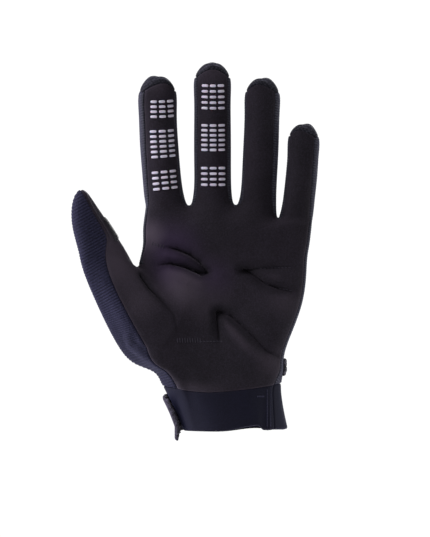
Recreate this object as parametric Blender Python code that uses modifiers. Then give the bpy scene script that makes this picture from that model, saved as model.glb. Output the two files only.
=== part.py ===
"""Left-hand motocross glove as worn: palm towards -Y, fingers up +Z, origin in the cuff's mouth."""

import math
from collections import namedtuple

import bmesh
import bpy
from mathutils import Vector
from mathutils.bvhtree import BVHTree
from mathutils.geometry import intersect_point_line
from mathutils.kdtree import KDTree

# Driving sizes in metres, measured on the outside of the glove
CUFF_LENGTH = 0.0270
CUFF_LEAN = 0.0085
HEM_WIDTH = 0.0625
HEM_DEPTH = 0.0470
HEM_RISE = 0.0042
HEM_STEP = 0.0028
WRIST_WIDTH = 0.0715
WRIST_DEPTH = 0.0430
PALM_LENGTH = 0.1075
PALM_WIDTH = 0.1010
PALM_DEPTH = 0.0320
PALM_SHIFT = 0.0045
INDEX_LENGTH = 0.0790
INDEX_WIDTH = 0.0222
MIDDLE_LENGTH = 0.0870
MIDDLE_WIDTH = 0.0214
RING_LENGTH = 0.0800
RING_WIDTH = 0.0204
LITTLE_LENGTH = 0.0580
LITTLE_WIDTH = 0.0182
FINGER_DEPTH_SHARE = 0.92
FINGER_CURL = 0.0080
THUMB_REACH = 0.0360
THUMB_RISE = 0.0490
THUMB_WIDTH = 0.0252
THUMB_DEPTH = 0.0240
THUMB_FORWARD = 0.0200
LEATHER = 0.0012
KNIT = 0.0014
NEOPRENE = 0.0022
SEAM_GAP = 0.0004
CREASE_DEPTH = 0.0017
CREASE_WIDTH = 0.0050
FOLD_HOLD = 0.0060
GRIP_CLEAR = 0.0003
GRIP_FILM = 0.0003
GRIP_HEIGHT = 0.0006
GRIP_BAR_WIDTH = 0.0042
GRIP_BAR_LENGTH = 0.0016
GRIP_PITCH = 0.0031
GRIP_SPREAD = 29
STRAP_WIDTH = 0.0262
STRAP_THICK = 0.0018
STRAP_CENTRE = 0.0190
STRAP_TILT = 17.0
STRAP_DROOP = 0.0028
STRAP_START = 122
STRAP_END = 277
STRAP_CLEAR = 0.0005
HOOK_PAD_THICK = 0.0011
HOOK_PAD_GAP = 0.0003
HOOK_PAD_SPAN = 24
HOOK_PAD_SETBACK = 1.5
ANCHOR_WIDTH = 0.0110
ANCHOR_THICK = 0.0017
ANCHOR_START = 84
ANCHOR_SETBACK = 1.2
GUARD_LENGTH = 0.0150
GUARD_THICK = 0.0013
GUARD_CLEAR = 0.0004
GUARD_DROP = 0.0020

FORM_LEVELS = 1
FIT_ROUNDS = 4

UP = Vector((0, 0, 1))
AWAY = Vector((0, 1, 0))
COLUMNS = 9
RING_SIZE = 2 * COLUMNS + 2
LITTLE_SIDE = COLUMNS
THUMB_SIDE = RING_SIZE - 1

# One row for each ring of the hand, from the finger roots down to the palm's lower seam.
# up is a share of PALM_LENGTH, the sideways places are shares of PALM_WIDTH, and the depths of PALM_DEPTH.
HandRow = namedtuple(
    "HandRow", "up left_front left_side left_back right_front right_side thenar hollow heel back"
)
HAND_ROWS = (
    HandRow(0.880, -0.470, -0.497, -0.470, 0.462, 0.486, 0.40, 0.42, 0.40, 0.47),
    HandRow(0.780, -0.472, -0.497, -0.474, 0.452, 0.472, 0.42, 0.41, 0.42, 0.50),
    HandRow(0.684, -0.484, -0.515, -0.495, 0.440, 0.458, 0.47, 0.40, 0.45, 0.52),
    HandRow(0.459, -0.340, -0.420, -0.500, 0.412, 0.432, 0.66, 0.40, 0.54, 0.56),
    HandRow(0.210, -0.486, -0.590, -0.640, 0.312, 0.334, 0.66, 0.56, 0.62, 0.60),
    HandRow(0.092, -0.380, -0.440, -0.460, 0.292, 0.322, 0.64, 0.60, 0.62, 0.62),
)
PALM_EDGE_ROLL = 0.42

# One row for each finger: where its root and tip lie across the hand, how far its root stands above the
# middle finger's, and how far round the finger the palm leather is turned, in degrees.
Finger = namedtuple("Finger", "name length width root tip bow rise turn")
FINGERS = (
    Finger("index", INDEX_LENGTH, INDEX_WIDTH, -0.376, -0.422, -0.014, 0.000, 14),
    Finger("middle", MIDDLE_LENGTH, MIDDLE_WIDTH, -0.094, -0.096, 0.000, 0.006, 0),
    Finger("ring", RING_LENGTH, RING_WIDTH, 0.172, 0.203, 0.006, -0.014, -12),
    Finger("little", LITTLE_LENGTH, LITTLE_WIDTH, 0.402, 0.449, 0.010, -0.076, -16),
)
# Crotches between the fingers: place across the hand and height above the middle finger's root
Crotch = namedtuple("Crotch", "across rise")
CROTCHES = (Crotch(-0.235, 0.000), Crotch(0.038, 0.005), Crotch(0.288, -0.068))
# Rings up a finger: share of the stretch below the round tip, width and depth shares
FingerRing = namedtuple("FingerRing", "up wide deep")
FINGER_RINGS = (
    FingerRing(0.13, 1.03, 1.00),
    FingerRing(0.40, 1.00, 1.00),
    FingerRing(0.70, 1.00, 0.99),
    FingerRing(1.00, 0.99, 0.95),
)
TIP_RING = FingerRing(0.39, 0.94, 0.86)
TIP_ARCH = 0.25
FINGER_ANGLES = (-58, 0, 58, 90, 122, 180, 238, 270)

# Rings up the thumb: place as shares of THUMB_REACH and THUMB_RISE from the web, size shares,
# lean in degrees, and the angle round the thumb where its leather meets the gusset
ThumbRing = namedtuple("ThumbRing", "out up wide deep forward lean seam")
THUMB_RINGS = (
    ThumbRing(0.500, -0.005, 1.15, 1.08, 0.35, 25, -16),
    ThumbRing(0.700, 0.320, 0.98, 1.00, 0.62, 24, 8),
    ThumbRing(0.875, 0.630, 0.76, 0.90, 0.84, 20, 9),
    ThumbRing(0.965, 0.885, 0.42, 0.62, 0.98, 16, 10),
)
THUMB_TIP = ThumbRing(0.99, 1.00, 0.00, 0.00, 1.02, 0, 0)
THUMB_ANGLES = (68, 40, 0, -42, -85, -170, 130, 95)

# Panels of the shell, in the order of their material slots: wall thickness and colour
Panel = namedtuple("Panel", "name wall colour roughness")
LEATHER_COLOUR = (0.014, 0.011, 0.015)
KNIT_COLOUR = (0.018, 0.018, 0.032)
BACK_COLOUR = (0.012, 0.012, 0.015)
CUFF_COLOUR = (0.013, 0.013, 0.024)
PANELS = (
    Panel("palm_panel", LEATHER, LEATHER_COLOUR, 0.75),
    Panel("index_side_strip", KNIT, KNIT_COLOUR, 0.85),
    Panel("fourchette_index_middle", KNIT, KNIT_COLOUR, 0.85),
    Panel("fourchette_middle_ring", KNIT, KNIT_COLOUR, 0.85),
    Panel("fourchette_ring_little", KNIT, KNIT_COLOUR, 0.85),
    Panel("little_side_strip", KNIT, KNIT_COLOUR, 0.85),
    Panel("back_panel", KNIT, BACK_COLOUR, 0.85),
    Panel("thumb_panel", LEATHER, LEATHER_COLOUR, 0.75),
    Panel("thumb_gusset", KNIT, KNIT_COLOUR, 0.85),
    Panel("thumb_back", KNIT, BACK_COLOUR, 0.85),
    Panel("cuff_front", NEOPRENE, CUFF_COLOUR, 0.7),
    Panel("cuff_back", NEOPRENE, CUFF_COLOUR, 0.7),
)
SLOT = {panel.name: number for number, panel in enumerate(PANELS)}
SIDE_SLOTS = tuple(SLOT[panel.name] for panel in PANELS[1:6])
STRAP_COLOUR = (0.022, 0.022, 0.031)
RUBBER_COLOUR = (0.020, 0.019, 0.024)
GRIP_COLOUR = (0.72, 0.70, 0.82)

FOLDED_SPAN = (0.06, 0.90)
# Cuts up the palm (axis 2) and across it (axis 0)
FOLD_CUTS = ((2, 2), (0, 1))
# Folds and pads of the worn palm leather. across and up are shares of PALM_WIDTH and PALM_LENGTH,
# deep is a share of CREASE_DEPTH, and a negative one stands out.
FoldPoint = namedtuple("FoldPoint", "across up deep")
PALM_FOLDS = (
    (
        FoldPoint(-0.430, 0.800, 0.3),
        FoldPoint(-0.370, 0.775, 0.8),
        FoldPoint(-0.230, 0.735, 1.0),
        FoldPoint(-0.165, 0.690, 1.0),
        FoldPoint(-0.125, 0.640, 0.5),
    ),
    (
        FoldPoint(-0.400, 0.725, 0.0),
        FoldPoint(-0.345, 0.740, -0.6),
        FoldPoint(-0.250, 0.705, -0.8),
        FoldPoint(-0.180, 0.665, -0.5),
    ),
    (
        FoldPoint(-0.470, 0.700, 0.3),
        FoldPoint(-0.370, 0.695, 0.8),
        FoldPoint(-0.270, 0.672, 1.0),
        FoldPoint(-0.150, 0.628, 1.0),
        FoldPoint(-0.105, 0.632, 0.4),
    ),
    (
        FoldPoint(0.090, 0.650, 0.5),
        FoldPoint(0.190, 0.655, 0.8),
        FoldPoint(0.370, 0.662, 0.4),
    ),
    (
        FoldPoint(0.090, 0.635, 0.6),
        FoldPoint(0.200, 0.575, 1.0),
        FoldPoint(0.300, 0.545, 0.8),
        FoldPoint(0.370, 0.530, 0.3),
    ),
    (
        FoldPoint(-0.075, 0.400, 0.8),
        FoldPoint(-0.060, 0.340, 0.9),
        FoldPoint(-0.050, 0.255, 0.3),
    ),
    (
        FoldPoint(-0.075, 0.405, 0.9),
        FoldPoint(0.010, 0.385, 1.0),
        FoldPoint(0.140, 0.280, 1.0),
        FoldPoint(0.230, 0.195, 0.6),
        FoldPoint(0.300, 0.160, 0.2),
    ),
    (
        FoldPoint(-0.020, 0.350, -0.3),
        FoldPoint(0.040, 0.270, -0.9),
        FoldPoint(0.130, 0.170, -0.8),
        FoldPoint(0.160, 0.080, -0.3),
    ),
)
# Groups of grip bars up a finger: which finger, place of the lowest bar as a share of its length,
# number of rows, their pitch as a share of GRIP_PITCH, and how far round the finger they are turned
GripGroup = namedtuple("GripGroup", "name finger up rows pitch turn")
GRIP_GROUPS = (
    GripGroup("grip_index_1", 0, 0.137, 4, 1.08, 7),
    GripGroup("grip_index_2", 0, 0.381, 6, 1.00, 11),
    GripGroup("grip_index_3", 0, 0.688, 4, 0.97, 15),
    GripGroup("grip_middle_1", 1, 0.144, 4, 1.09, 2),
    GripGroup("grip_middle_2", 1, 0.384, 6, 0.96, 2),
    GripGroup("grip_middle_3", 1, 0.674, 5, 1.09, 2),
)
GRIP_COLUMNS = 3


def clear_scene():
    for obj in list(bpy.data.objects):
        bpy.data.objects.remove(obj)
    for name in ("motocross_glove", "glove_helpers"):
        bpy.context.scene.collection.children.link(bpy.data.collections.new(name))


def finish(name, colour, roughness):
    material = bpy.data.materials.new(name)
    material.use_nodes = True
    shader = material.node_tree.nodes["Principled BSDF"]
    shader.inputs["Base Color"].default_value = (*colour, 1)
    shader.inputs["Roughness"].default_value = roughness
    shader.inputs["Metallic"].default_value = 0
    return material


def add_object(name, mesh, materials, collection="motocross_glove"):
    obj = bpy.data.objects.new(name, mesh)
    bpy.data.collections[collection].objects.link(obj)
    for material in materials:
        mesh.materials.append(material)
    return obj


# Places on the hand

SEAM_UP = CUFF_LENGTH
ROOT_UP = CUFF_LENGTH + PALM_LENGTH


def across(share):
    return share * PALM_WIDTH - PALM_SHIFT


def palm_profile(row, share):
    """Depth in front of the hand's middle plane: thumb ball, hollow and heel, rolled off at both edges."""
    if share < 0.5:
        deep = row.thenar + (row.hollow - row.thenar) * math.sin(math.pi * share) ** 2
    else:
        deep = row.heel + (row.hollow - row.heel) * math.sin(math.pi * share) ** 2
    return deep * (1 - PALM_EDGE_ROLL * abs(2 * share - 1) ** 4)


def hand_ring(row):
    """Places of one ring: front from thumb to little finger, little side, back the other way, thumb side."""
    high = SEAM_UP + row.up * PALM_LENGTH
    front, back = [], []
    for column in range(COLUMNS):
        share = column / (COLUMNS - 1)
        x = across(row.left_front + (row.right_front - row.left_front) * share)
        front.append(Vector((x, -palm_profile(row, share) * PALM_DEPTH, high)))
        x = across(row.left_back + (row.right_front - row.left_back) * share)
        roll = 1 - PALM_EDGE_ROLL * abs(2 * share - 1) ** 4
        back.append(Vector((x, row.back * roll * PALM_DEPTH, high)))
    little = Vector((across(row.right_side), 0, high))
    thumb = Vector((across(row.left_side), -0.1 * PALM_DEPTH, high))
    return front + [little] + back[::-1] + [thumb]


def root_ring():
    """The ring at the finger roots, where each crotch is a point that two fingers share."""
    front, back = [], []
    corners = [(FINGERS[0].root * PALM_WIDTH - FINGERS[0].width * 0.46, 0)]
    corners += [(crotch.across * PALM_WIDTH, crotch.rise) for crotch in CROTCHES]
    corners += [(FINGERS[-1].root * PALM_WIDTH + FINGERS[-1].width * 0.46, FINGERS[-1].rise)]
    for column in range(COLUMNS):
        finger = FINGERS[min(column // 2, len(FINGERS) - 1)]
        deep = 0.5 * finger.width * FINGER_DEPTH_SHARE
        if column % 2:
            x, rise = finger.root * PALM_WIDTH, finger.rise
            front_deep, back_deep, drop = 1.02 * deep, 1.12 * deep, 0.03
        else:
            x, rise = corners[column // 2]
            inner = 0 < column < COLUMNS - 1
            front_deep, back_deep, drop = (0.62 * deep, 0.72 * deep, 0.05 if inner else 0.03)
        high = ROOT_UP + rise * PALM_WIDTH
        front.append(Vector((x - PALM_SHIFT, -front_deep, high)))
        back.append(Vector((x - PALM_SHIFT, back_deep, high - drop * PALM_WIDTH)))
    outer = 0.5 * FINGERS[-1].width
    little = Vector((across(FINGERS[-1].root) + outer, 0, front[-1].z))
    outer = 0.5 * FINGERS[0].width
    thumb = Vector((across(FINGERS[0].root) - outer, 0, front[0].z))
    return front + [little] + back[::-1] + [thumb]


def oval(wide, deep, angle, power=2.3):
    """A point of a squarish oval, at an angle from its front towards its right."""
    s, c = math.sin(math.radians(angle)), math.cos(math.radians(angle))
    return (
        0.5 * wide * math.copysign(abs(s) ** (2 / power), s),
        0.5 * deep * math.copysign(abs(c) ** (2 / power), c),
    )


def finger_line(finger, up):
    """A point of the finger's middle line, up metres above its root."""
    share = up / finger.length
    x = finger.root + (finger.tip - finger.root) * share + finger.bow * math.sin(math.pi * share)
    return Vector(
        (across(x), -FINGER_CURL * share**2, ROOT_UP + finger.rise * PALM_WIDTH + up)
    )


def finger_rings(finger):
    """Places of the rings up one finger, and of its tip."""
    straight = finger.length - finger.width
    steps = [(ring.up * straight, ring, 0) for ring in FINGER_RINGS]
    steps.append((finger.length - TIP_RING.up * finger.width, TIP_RING, TIP_ARCH))
    rings = []
    for number, (up, ring, arch) in enumerate(steps):
        centre = finger_line(finger, up)
        line = (finger_line(finger, up + 0.001) - centre).normalized()
        right = AWAY.cross(line).normalized()
        front = right.cross(line)
        turn = finger.turn * min(1, 0.4 + 0.3 * number)
        places = []
        for column, angle in enumerate(FINGER_ANGLES):
            wide = finger.width * ring.wide
            deep = finger.width * FINGER_DEPTH_SHARE * ring.deep
            x, y = oval(wide, deep, angle + turn)
            place = centre + right * x + front * y
            if arch and angle in (0, 180):
                place += line * arch * finger.width - front * 0.25 * y
            places.append(place)
        rings.append(places)
    return rings, finger_line(finger, finger.length)


WEB_POINT = Vector((across(-0.523), -0.002, SEAM_UP + 0.640 * PALM_LENGTH))


def thumb_centre(ring):
    out, up = ring.out * THUMB_REACH, ring.up * THUMB_RISE
    return WEB_POINT + Vector((-out, -ring.forward * THUMB_FORWARD, up))


def thumb_rings():
    rings = []
    for ring in THUMB_RINGS:
        lean = math.radians(ring.lean)
        right = Vector((math.cos(lean), 0, math.sin(lean)))
        places = []
        for number, angle in enumerate(THUMB_ANGLES):
            if number in (2, 3):
                angle += ring.seam * (1 if number == 2 else 0.5)
            x, y = oval(ring.wide * THUMB_WIDTH, ring.deep * THUMB_DEPTH, angle, 2.1)
            places.append(thumb_centre(ring) + right * x - AWAY * y)
        rings.append(places)
    return rings, thumb_centre(THUMB_TIP)


CuffRow = namedtuple("CuffRow", "up lean wide deep dip rise")
CUFF_ROWS = (
    CuffRow(0.0, 0.0, HEM_WIDTH, HEM_DEPTH, 0.0, 1.0),
    CuffRow(0.5, 0.5, (HEM_WIDTH + WRIST_WIDTH) / 2.06, (HEM_DEPTH + WRIST_DEPTH) / 2.04, 0.4, 0.7),
    CuffRow(1.0, 1.0, WRIST_WIDTH, WRIST_DEPTH, 1.0, 0.4),
)
SEAM_DIP = 0.15
CUFF_FRONT_SPAN = 52


def cuff_ring(row):
    """Places of one ring round the wrist, with as many columns as the hand's rings."""
    places = []
    for number in range(RING_SIZE):
        if number < COLUMNS:
            angle = CUFF_FRONT_SPAN * (2 * number / (COLUMNS - 1) - 1)
        elif number == LITTLE_SIDE:
            angle = 90
        elif number == THUMB_SIDE:
            angle = -90
        else:
            back = number - COLUMNS - 1
            angle = 180 - CUFF_FRONT_SPAN * (1 - 2 * back / (COLUMNS - 1))
        x, y = oval(row.wide, row.deep, angle, 2.15)
        middle = 1 - (2 * x / row.wide) ** 2
        high = row.up * CUFF_LENGTH - row.dip * SEAM_DIP * CUFF_LENGTH * middle
        high += row.rise * HEM_RISE * ease((2 * x / row.wide + 0.45) / 0.95)
        places.append(Vector((x - row.lean * CUFF_LEAN, -y, high)))
    return places


def ease(share):
    """A smooth step from 0 to 1."""
    share = min(1, max(0, share))
    return share * share * (3 - 2 * share)


# The glove's form

def grow_ring(cage, ring, places, slots):
    """Extrudes a closed ring of vertices to its new places. slots holds a material slot for each new face."""
    size = len(ring)
    edges = [cage.edges.get((ring[n], ring[(n + 1) % size])) for n in range(size)]
    made = bmesh.ops.extrude_edge_only(cage, edges=edges)["geom"]
    fresh = {item for item in made if isinstance(item, bmesh.types.BMVert)}
    grown = []
    for vertex, place in zip(ring, places):
        twin = next(e.other_vert(vertex) for e in vertex.link_edges if e.other_vert(vertex) in fresh)
        twin.co = place
        grown.append(twin)
    for n, slot in enumerate(slots):
        edge = cage.edges.get((grown[n], grown[(n + 1) % size]))
        for face in edge.link_faces:
            face.material_index = slot
    return grown


def close_tip(cage, ring, place, slots, first):
    """Four faces from a ring of eight to one vertex at the tip."""
    tip = cage.verts.new(place)
    for quarter in range(4):
        n = first + 2 * quarter
        corners = [ring[n % 8], ring[(n + 1) % 8], ring[(n + 2) % 8], tip]
        cage.faces.new(corners).material_index = slots[quarter]


def hand_slots(thumb_side_slot):
    """Material slots for the faces between two of the hand's rings, in the order of the ring."""
    front = [SLOT["palm_panel"]] * (COLUMNS - 1)
    back = [SLOT["back_panel"]] * (COLUMNS - 1)
    little = [SLOT["little_side_strip"]] * 2
    return front + little + back + [thumb_side_slot] * 2


def build_cage():
    """The coarse cage of the whole glove, open at the cuff's hem."""
    cage = bmesh.new()
    hem = bmesh.ops.create_circle(cage, segments=RING_SIZE, radius=HEM_WIDTH)["verts"]
    for vertex, place in zip(hem, cuff_ring(CUFF_ROWS[0])):
        vertex.co = place
    front, back = SLOT["cuff_front"], SLOT["cuff_back"]
    cuff_slots = [front] * (COLUMNS - 1) + [back] * (COLUMNS + 1) + [front] * 2
    ring = hem
    for row in CUFF_ROWS[1:]:
        ring = grow_ring(cage, ring, cuff_ring(row), cuff_slots)
    wrist, base, middle, web, upper, top = (hand_ring(row) for row in HAND_ROWS[::-1])
    ring = grow_ring(cage, ring, wrist, hand_slots(SLOT["thumb_gusset"]))
    low = grow_ring(cage, ring, base, hand_slots(SLOT["thumb_gusset"]))
    centre = grow_ring(cage, low, middle, hand_slots(SLOT["thumb_gusset"]))
    high = grow_ring(cage, centre, web, hand_slots(SLOT["thumb_gusset"]))
    ring = high
    for places in (upper, top, root_ring()):
        ring = grow_ring(cage, ring, places, hand_slots(SLOT["index_side_strip"]))
    low[THUMB_SIDE].co = Vector((across(-0.575), -0.30 * PALM_DEPTH, low[THUMB_SIDE].co.z))
    low[THUMB_SIDE - 1].co = Vector((across(-0.640), 0.10 * PALM_DEPTH, low[THUMB_SIDE].co.z))
    high[THUMB_SIDE].co = WEB_POINT
    bmesh.ops.delete(cage, geom=[centre[THUMB_SIDE]], context="VERTS")
    back_corner = THUMB_SIDE - 1
    thumb_root = [high[0], centre[0], low[0], low[THUMB_SIDE]]
    thumb_root += [low[back_corner], centre[back_corner], high[back_corner], high[THUMB_SIDE]]
    grow_thumb(cage, thumb_root)
    grow_fingers(cage, ring)
    bmesh.ops.recalc_face_normals(cage, faces=cage.faces)
    return cage


def grow_thumb(cage, root):
    leather, gusset, back = SLOT["thumb_panel"], SLOT["thumb_gusset"], SLOT["thumb_back"]
    slots = [leather, leather, gusset, gusset, back, back, leather, leather]
    rings, tip = thumb_rings()
    ring = root
    for places in rings:
        ring = grow_ring(cage, ring, places, slots)
    close_tip(cage, ring, tip, slots[::2], 0)


def grow_fingers(cage, roots):
    """Joins front and back at each crotch, then grows the four fingers from the roots."""
    webs = []
    for number in range(1, len(FINGERS)):
        front, back = roots[2 * number], roots[2 * COLUMNS - 2 * number]
        web = cage.verts.new((front.co + back.co) / 2 + UP * 0.001)
        cage.edges.new((front, web))
        cage.edges.new((web, back))
        webs.append(web)
    sides = [roots[THUMB_SIDE]] + webs + [roots[LITTLE_SIDE]]
    palm, wrap = SLOT["palm_panel"], SLOT["back_panel"]
    for number, finger in enumerate(FINGERS):
        first = 2 * number
        ring = roots[first : first + 3] + [sides[number + 1]]
        ring += [roots[2 * COLUMNS - first - step] for step in (2, 1, 0)] + [sides[number]]
        left, right = SIDE_SLOTS[number], SIDE_SLOTS[number + 1]
        slots = [palm, palm, right, right, wrap, wrap, left, left]
        rings, tip = finger_rings(finger)
        for places in rings:
            ring = grow_ring(cage, ring, places, slots)
        close_tip(cage, ring, tip, [wrap] * 4, 7)


def fit_form(cage):
    """A subdivided form whose surface passes through the cage's own points."""
    mesh = bpy.data.meshes.new("glove_form")
    cage.to_mesh(mesh)
    cage.free()
    form = add_object("glove_form", mesh, [finish("form", BACK_COLOUR, 1)] * len(PANELS), "glove_helpers")
    form.hide_render = True
    form.display_type = "WIRE"
    smooth = form.modifiers.new("smooth", "SUBSURF")
    smooth.levels = smooth.render_levels = FORM_LEVELS
    wanted = [vertex.co.copy() for vertex in mesh.vertices]
    for _ in range(FIT_ROUNDS):
        bpy.context.view_layer.update()
        graph = bpy.context.evaluated_depsgraph_get()
        reached = form.evaluated_get(graph).data.vertices
        moves = [want - reached[n].co for n, want in enumerate(wanted)]
        for vertex, move in zip(mesh.vertices, moves):
            vertex.co += move
        mesh.update()
    bpy.context.view_layer.update()
    graph = bpy.context.evaluated_depsgraph_get()
    return bpy.data.meshes.new_from_object(form.evaluated_get(graph))


def normal_finder(mesh):
    """The form's own normals, looked up by place, so that walls of adjoining panels stay side by side."""
    tree = KDTree(len(mesh.vertices))
    for vertex in mesh.vertices:
        tree.insert(vertex.co, vertex.index)
    tree.balance()
    normals = [vertex.normal.copy() for vertex in mesh.vertices]
    return lambda place: normals[tree.find(place)[1]]


def keep_panel(mesh, slot):
    """One panel's faces, drawn in by half a seam gap all round."""
    panel = bmesh.new()
    panel.from_mesh(mesh)
    others = [face for face in panel.faces if face.material_index != slot]
    bmesh.ops.delete(panel, geom=others, context="FACES")
    rim = bmesh.ops.inset_region(
        panel,
        faces=panel.faces[:],
        thickness=SEAM_GAP / 2,
        use_boundary=True,
        use_even_offset=True,
    )
    bmesh.ops.delete(panel, geom=rim["faces"], context="FACES")
    return panel


def fold_at(place, points):
    """The distance of a place from one fold's line, and the fold's own depth share there."""
    flat = Vector((place.x, place.z))
    found = (1, 0)
    for start, end in zip(points, points[1:]):
        ends = [
            Vector((across(point.across), SEAM_UP + point.up * PALM_LENGTH)) for point in (start, end)
        ]
        share = intersect_point_line(flat, *ends)[1]
        share = min(1, max(0, share))
        gap = (flat - ends[0].lerp(ends[1], share)).length
        found = min(found, (gap, start.deep + (end.deep - start.deep) * share))
    return found


def fold_depth(place):
    """How far the folds move the leather inwards at a place, down to nothing a crease width away."""
    folds = (fold_at(place, points) for points in PALM_FOLDS)
    return sum(CREASE_DEPTH * deep * (1 - ease(gap / CREASE_WIDTH)) for gap, deep in folds)


def fold_palm(panel):
    """Finer faces across the palm, pressed in along its folds and held at the seams."""
    low, high = (SEAM_UP + share * PALM_LENGTH for share in FOLDED_SPAN)
    for along, cuts in FOLD_CUTS:
        inner = []
        for edge in panel.edges:
            ends = [vertex.co for vertex in edge.verts]
            held = any(vertex.is_boundary for vertex in edge.verts)
            step = ends[1] - ends[0]
            if not held and low < ends[0].z < high and abs(step[along]) > abs(step[2 - along]):
                inner.append(edge)
        bmesh.ops.subdivide_edges(panel, edges=inner, cuts=cuts, use_grid_fill=True)
    panel.normal_update()
    rim = [vertex.co.copy() for vertex in panel.verts if vertex.is_boundary]
    tree = KDTree(len(rim))
    for number, place in enumerate(rim):
        tree.insert(place, number)
    tree.balance()
    moves = []
    for vertex in panel.verts:
        hold = ease(tree.find(vertex.co)[2] / FOLD_HOLD - 0.3)
        moves.append(vertex.normal * fold_depth(vertex.co) * hold)
    for vertex, move in zip(panel.verts, moves):
        vertex.co -= move
    panel.normal_update()


def thicken(panel, normal_at, wall):
    """Turns an open panel into a closed wall, inwards along the form's normals at its rim."""
    outside = set(panel.faces)
    layer = panel.verts.layers.float_vector.new("inwards")
    for vertex in panel.verts:
        vertex[layer] = normal_at(vertex.co) if vertex.is_boundary else vertex.normal
    made = bmesh.ops.extrude_face_region(panel, geom=panel.faces[:], use_keep_orig=True)
    for item in made["geom"]:
        if isinstance(item, bmesh.types.BMVert):
            item.co -= item[layer] * wall
    edges = [face for face in panel.faces if face not in outside and face not in made["geom"]]
    bmesh.ops.triangulate(panel, faces=edges, quad_method="SHORT_EDGE")
    bmesh.ops.recalc_face_normals(panel, faces=panel.faces[:])


def finish_mesh(work, name, colour, roughness):
    mesh = bpy.data.meshes.new(name)
    work.to_mesh(mesh)
    work.free()
    mesh.materials.clear()
    for polygon in mesh.polygons:
        polygon.material_index = 0
        polygon.use_smooth = True
    mesh.set_sharp_from_angle(angle=math.radians(60))
    return add_object(name, mesh, [finish(name, colour, roughness)])


def add_panels(mesh):
    normal_at = normal_finder(mesh)
    for slot, panel in enumerate(PANELS):
        work = keep_panel(mesh, slot)
        if panel.name == "palm_panel":
            fold_palm(work)
        thicken(work, normal_at, panel.wall)
        if panel.name == "cuff_back":
            for vertex in work.verts:
                low = 1 - ease(vertex.co.z / CUFF_LENGTH)
                near = ease(vertex.co.x / HEM_WIDTH + 0.5)
                vertex.co.z -= HEM_STEP * low * near
        finish_mesh(work, panel.name, panel.colour, panel.roughness)


# What is sewn or printed on the shell

def outward(front, right, angle):
    return right * math.sin(math.radians(angle)) + front * math.cos(math.radians(angle))


def lay_sheet(angles, heights, place, thick):
    """A closed sheet laid on the form. place takes an angle, a height and a stand-off."""
    columns, rows = len(angles) - 1, len(heights) - 1
    work = bmesh.new()
    bmesh.ops.create_grid(work, x_segments=columns, y_segments=rows, size=1)
    cell = work.verts.layers.float_vector.new("cell")
    for vertex in work.verts:
        column = round((vertex.co.x + 1) / 2 * columns)
        row = round((vertex.co.y + 1) / 2 * rows)
        vertex[cell] = (angles[column], heights[row], 0)
        vertex.co = place(angles[column], heights[row], 0)
    top = bmesh.ops.extrude_face_region(work, geom=work.faces[:], use_keep_orig=True)["geom"]
    for item in top:
        if isinstance(item, bmesh.types.BMVert):
            angle, height, _ = item[cell]
            item.co = place(angle, height, thick)
    bmesh.ops.recalc_face_normals(work, faces=work.faces[:])
    return work, [item for item in top if isinstance(item, bmesh.types.BMFace)]


def on_form(tree, centre, way, clear):
    """Where a ray from inside leaves the form, and a stand-off from there."""
    hit, normal, _, _ = tree.ray_cast(centre, way)
    return hit + way * clear / max(0.6, abs(normal.dot(way)))


def even(first, last, count):
    return [first + (last - first) * step / count for step in range(count + 1)]


def strap_places(tree, stand_off, lift):
    """Places on the band round the back of the cuff. It rises towards the little finger."""
    slope = math.tan(math.radians(STRAP_TILT))
    lowest = 0.1 * CUFF_LENGTH

    def place(angle, height, thick):
        way = outward(-AWAY, Vector((1, 0, 0)), angle)
        high = STRAP_CENTRE + lift + slope * way.x * 0.5 * HEM_WIDTH
        high -= STRAP_DROOP * ease((angle - 225) / (STRAP_END - 235))
        high += height * math.cos(math.radians(STRAP_TILT))
        level = max(high, lowest)
        centre = Vector((-CUFF_LEAN * level / CUFF_LENGTH, 0, level))
        found = on_form(tree, centre, way, stand_off(angle) + thick)
        return found + UP * (high - level)

    return place


def add_strap(tree):
    pad_start = STRAP_END - HOOK_PAD_SPAN

    def stand_off(angle):
        return STRAP_CLEAR + (HOOK_PAD_THICK + HOOK_PAD_GAP) * ease((angle - pad_start + 14) / 12)

    half = STRAP_WIDTH / 2
    heights = even(-half, half, 6)
    angles = even(STRAP_START, STRAP_END, 26)
    place = strap_places(tree, stand_off, 0)
    finish_mesh(lay_sheet(angles, heights, place, STRAP_THICK)[0], "strap", STRAP_COLOUR, 0.8)
    angles = even(pad_start, STRAP_END - HOOK_PAD_SETBACK, 6)
    place = strap_places(tree, lambda angle: STRAP_CLEAR, 0)
    work, _ = lay_sheet(angles, heights[1:-1], place, HOOK_PAD_THICK)
    finish_mesh(work, "strap_hook_pad", RUBBER_COLOUR, 0.9)
    half = ANCHOR_WIDTH / 2
    lift = STRAP_WIDTH / 2 - 0.30 * ANCHOR_WIDTH
    angles = even(ANCHOR_START, STRAP_START - ANCHOR_SETBACK, 10)
    place = strap_places(tree, lambda angle: STRAP_CLEAR, lift)
    work, _ = lay_sheet(angles, even(-half, half, 4), place, ANCHOR_THICK)
    finish_mesh(work, "strap_anchor", STRAP_COLOUR, 0.85)


def add_thumb_guard(tree):
    low, high = thumb_centre(THUMB_RINGS[1]), thumb_centre(THUMB_RINGS[2])
    line = (high - low).normalized()
    right = AWAY.cross(line).normalized()
    front = right.cross(line)

    def place(angle, height, thick):
        centre = (low + high) / 2 + line * (height - GUARD_DROP)
        return on_form(tree, centre, outward(front, right, angle), GUARD_CLEAR + thick)

    half = GUARD_LENGTH / 2
    work, _ = lay_sheet(even(100, 258, 18), even(-half, half, 5), place, GUARD_THICK)
    finish_mesh(work, "thumb_guard", RUBBER_COLOUR, 0.6)


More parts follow.
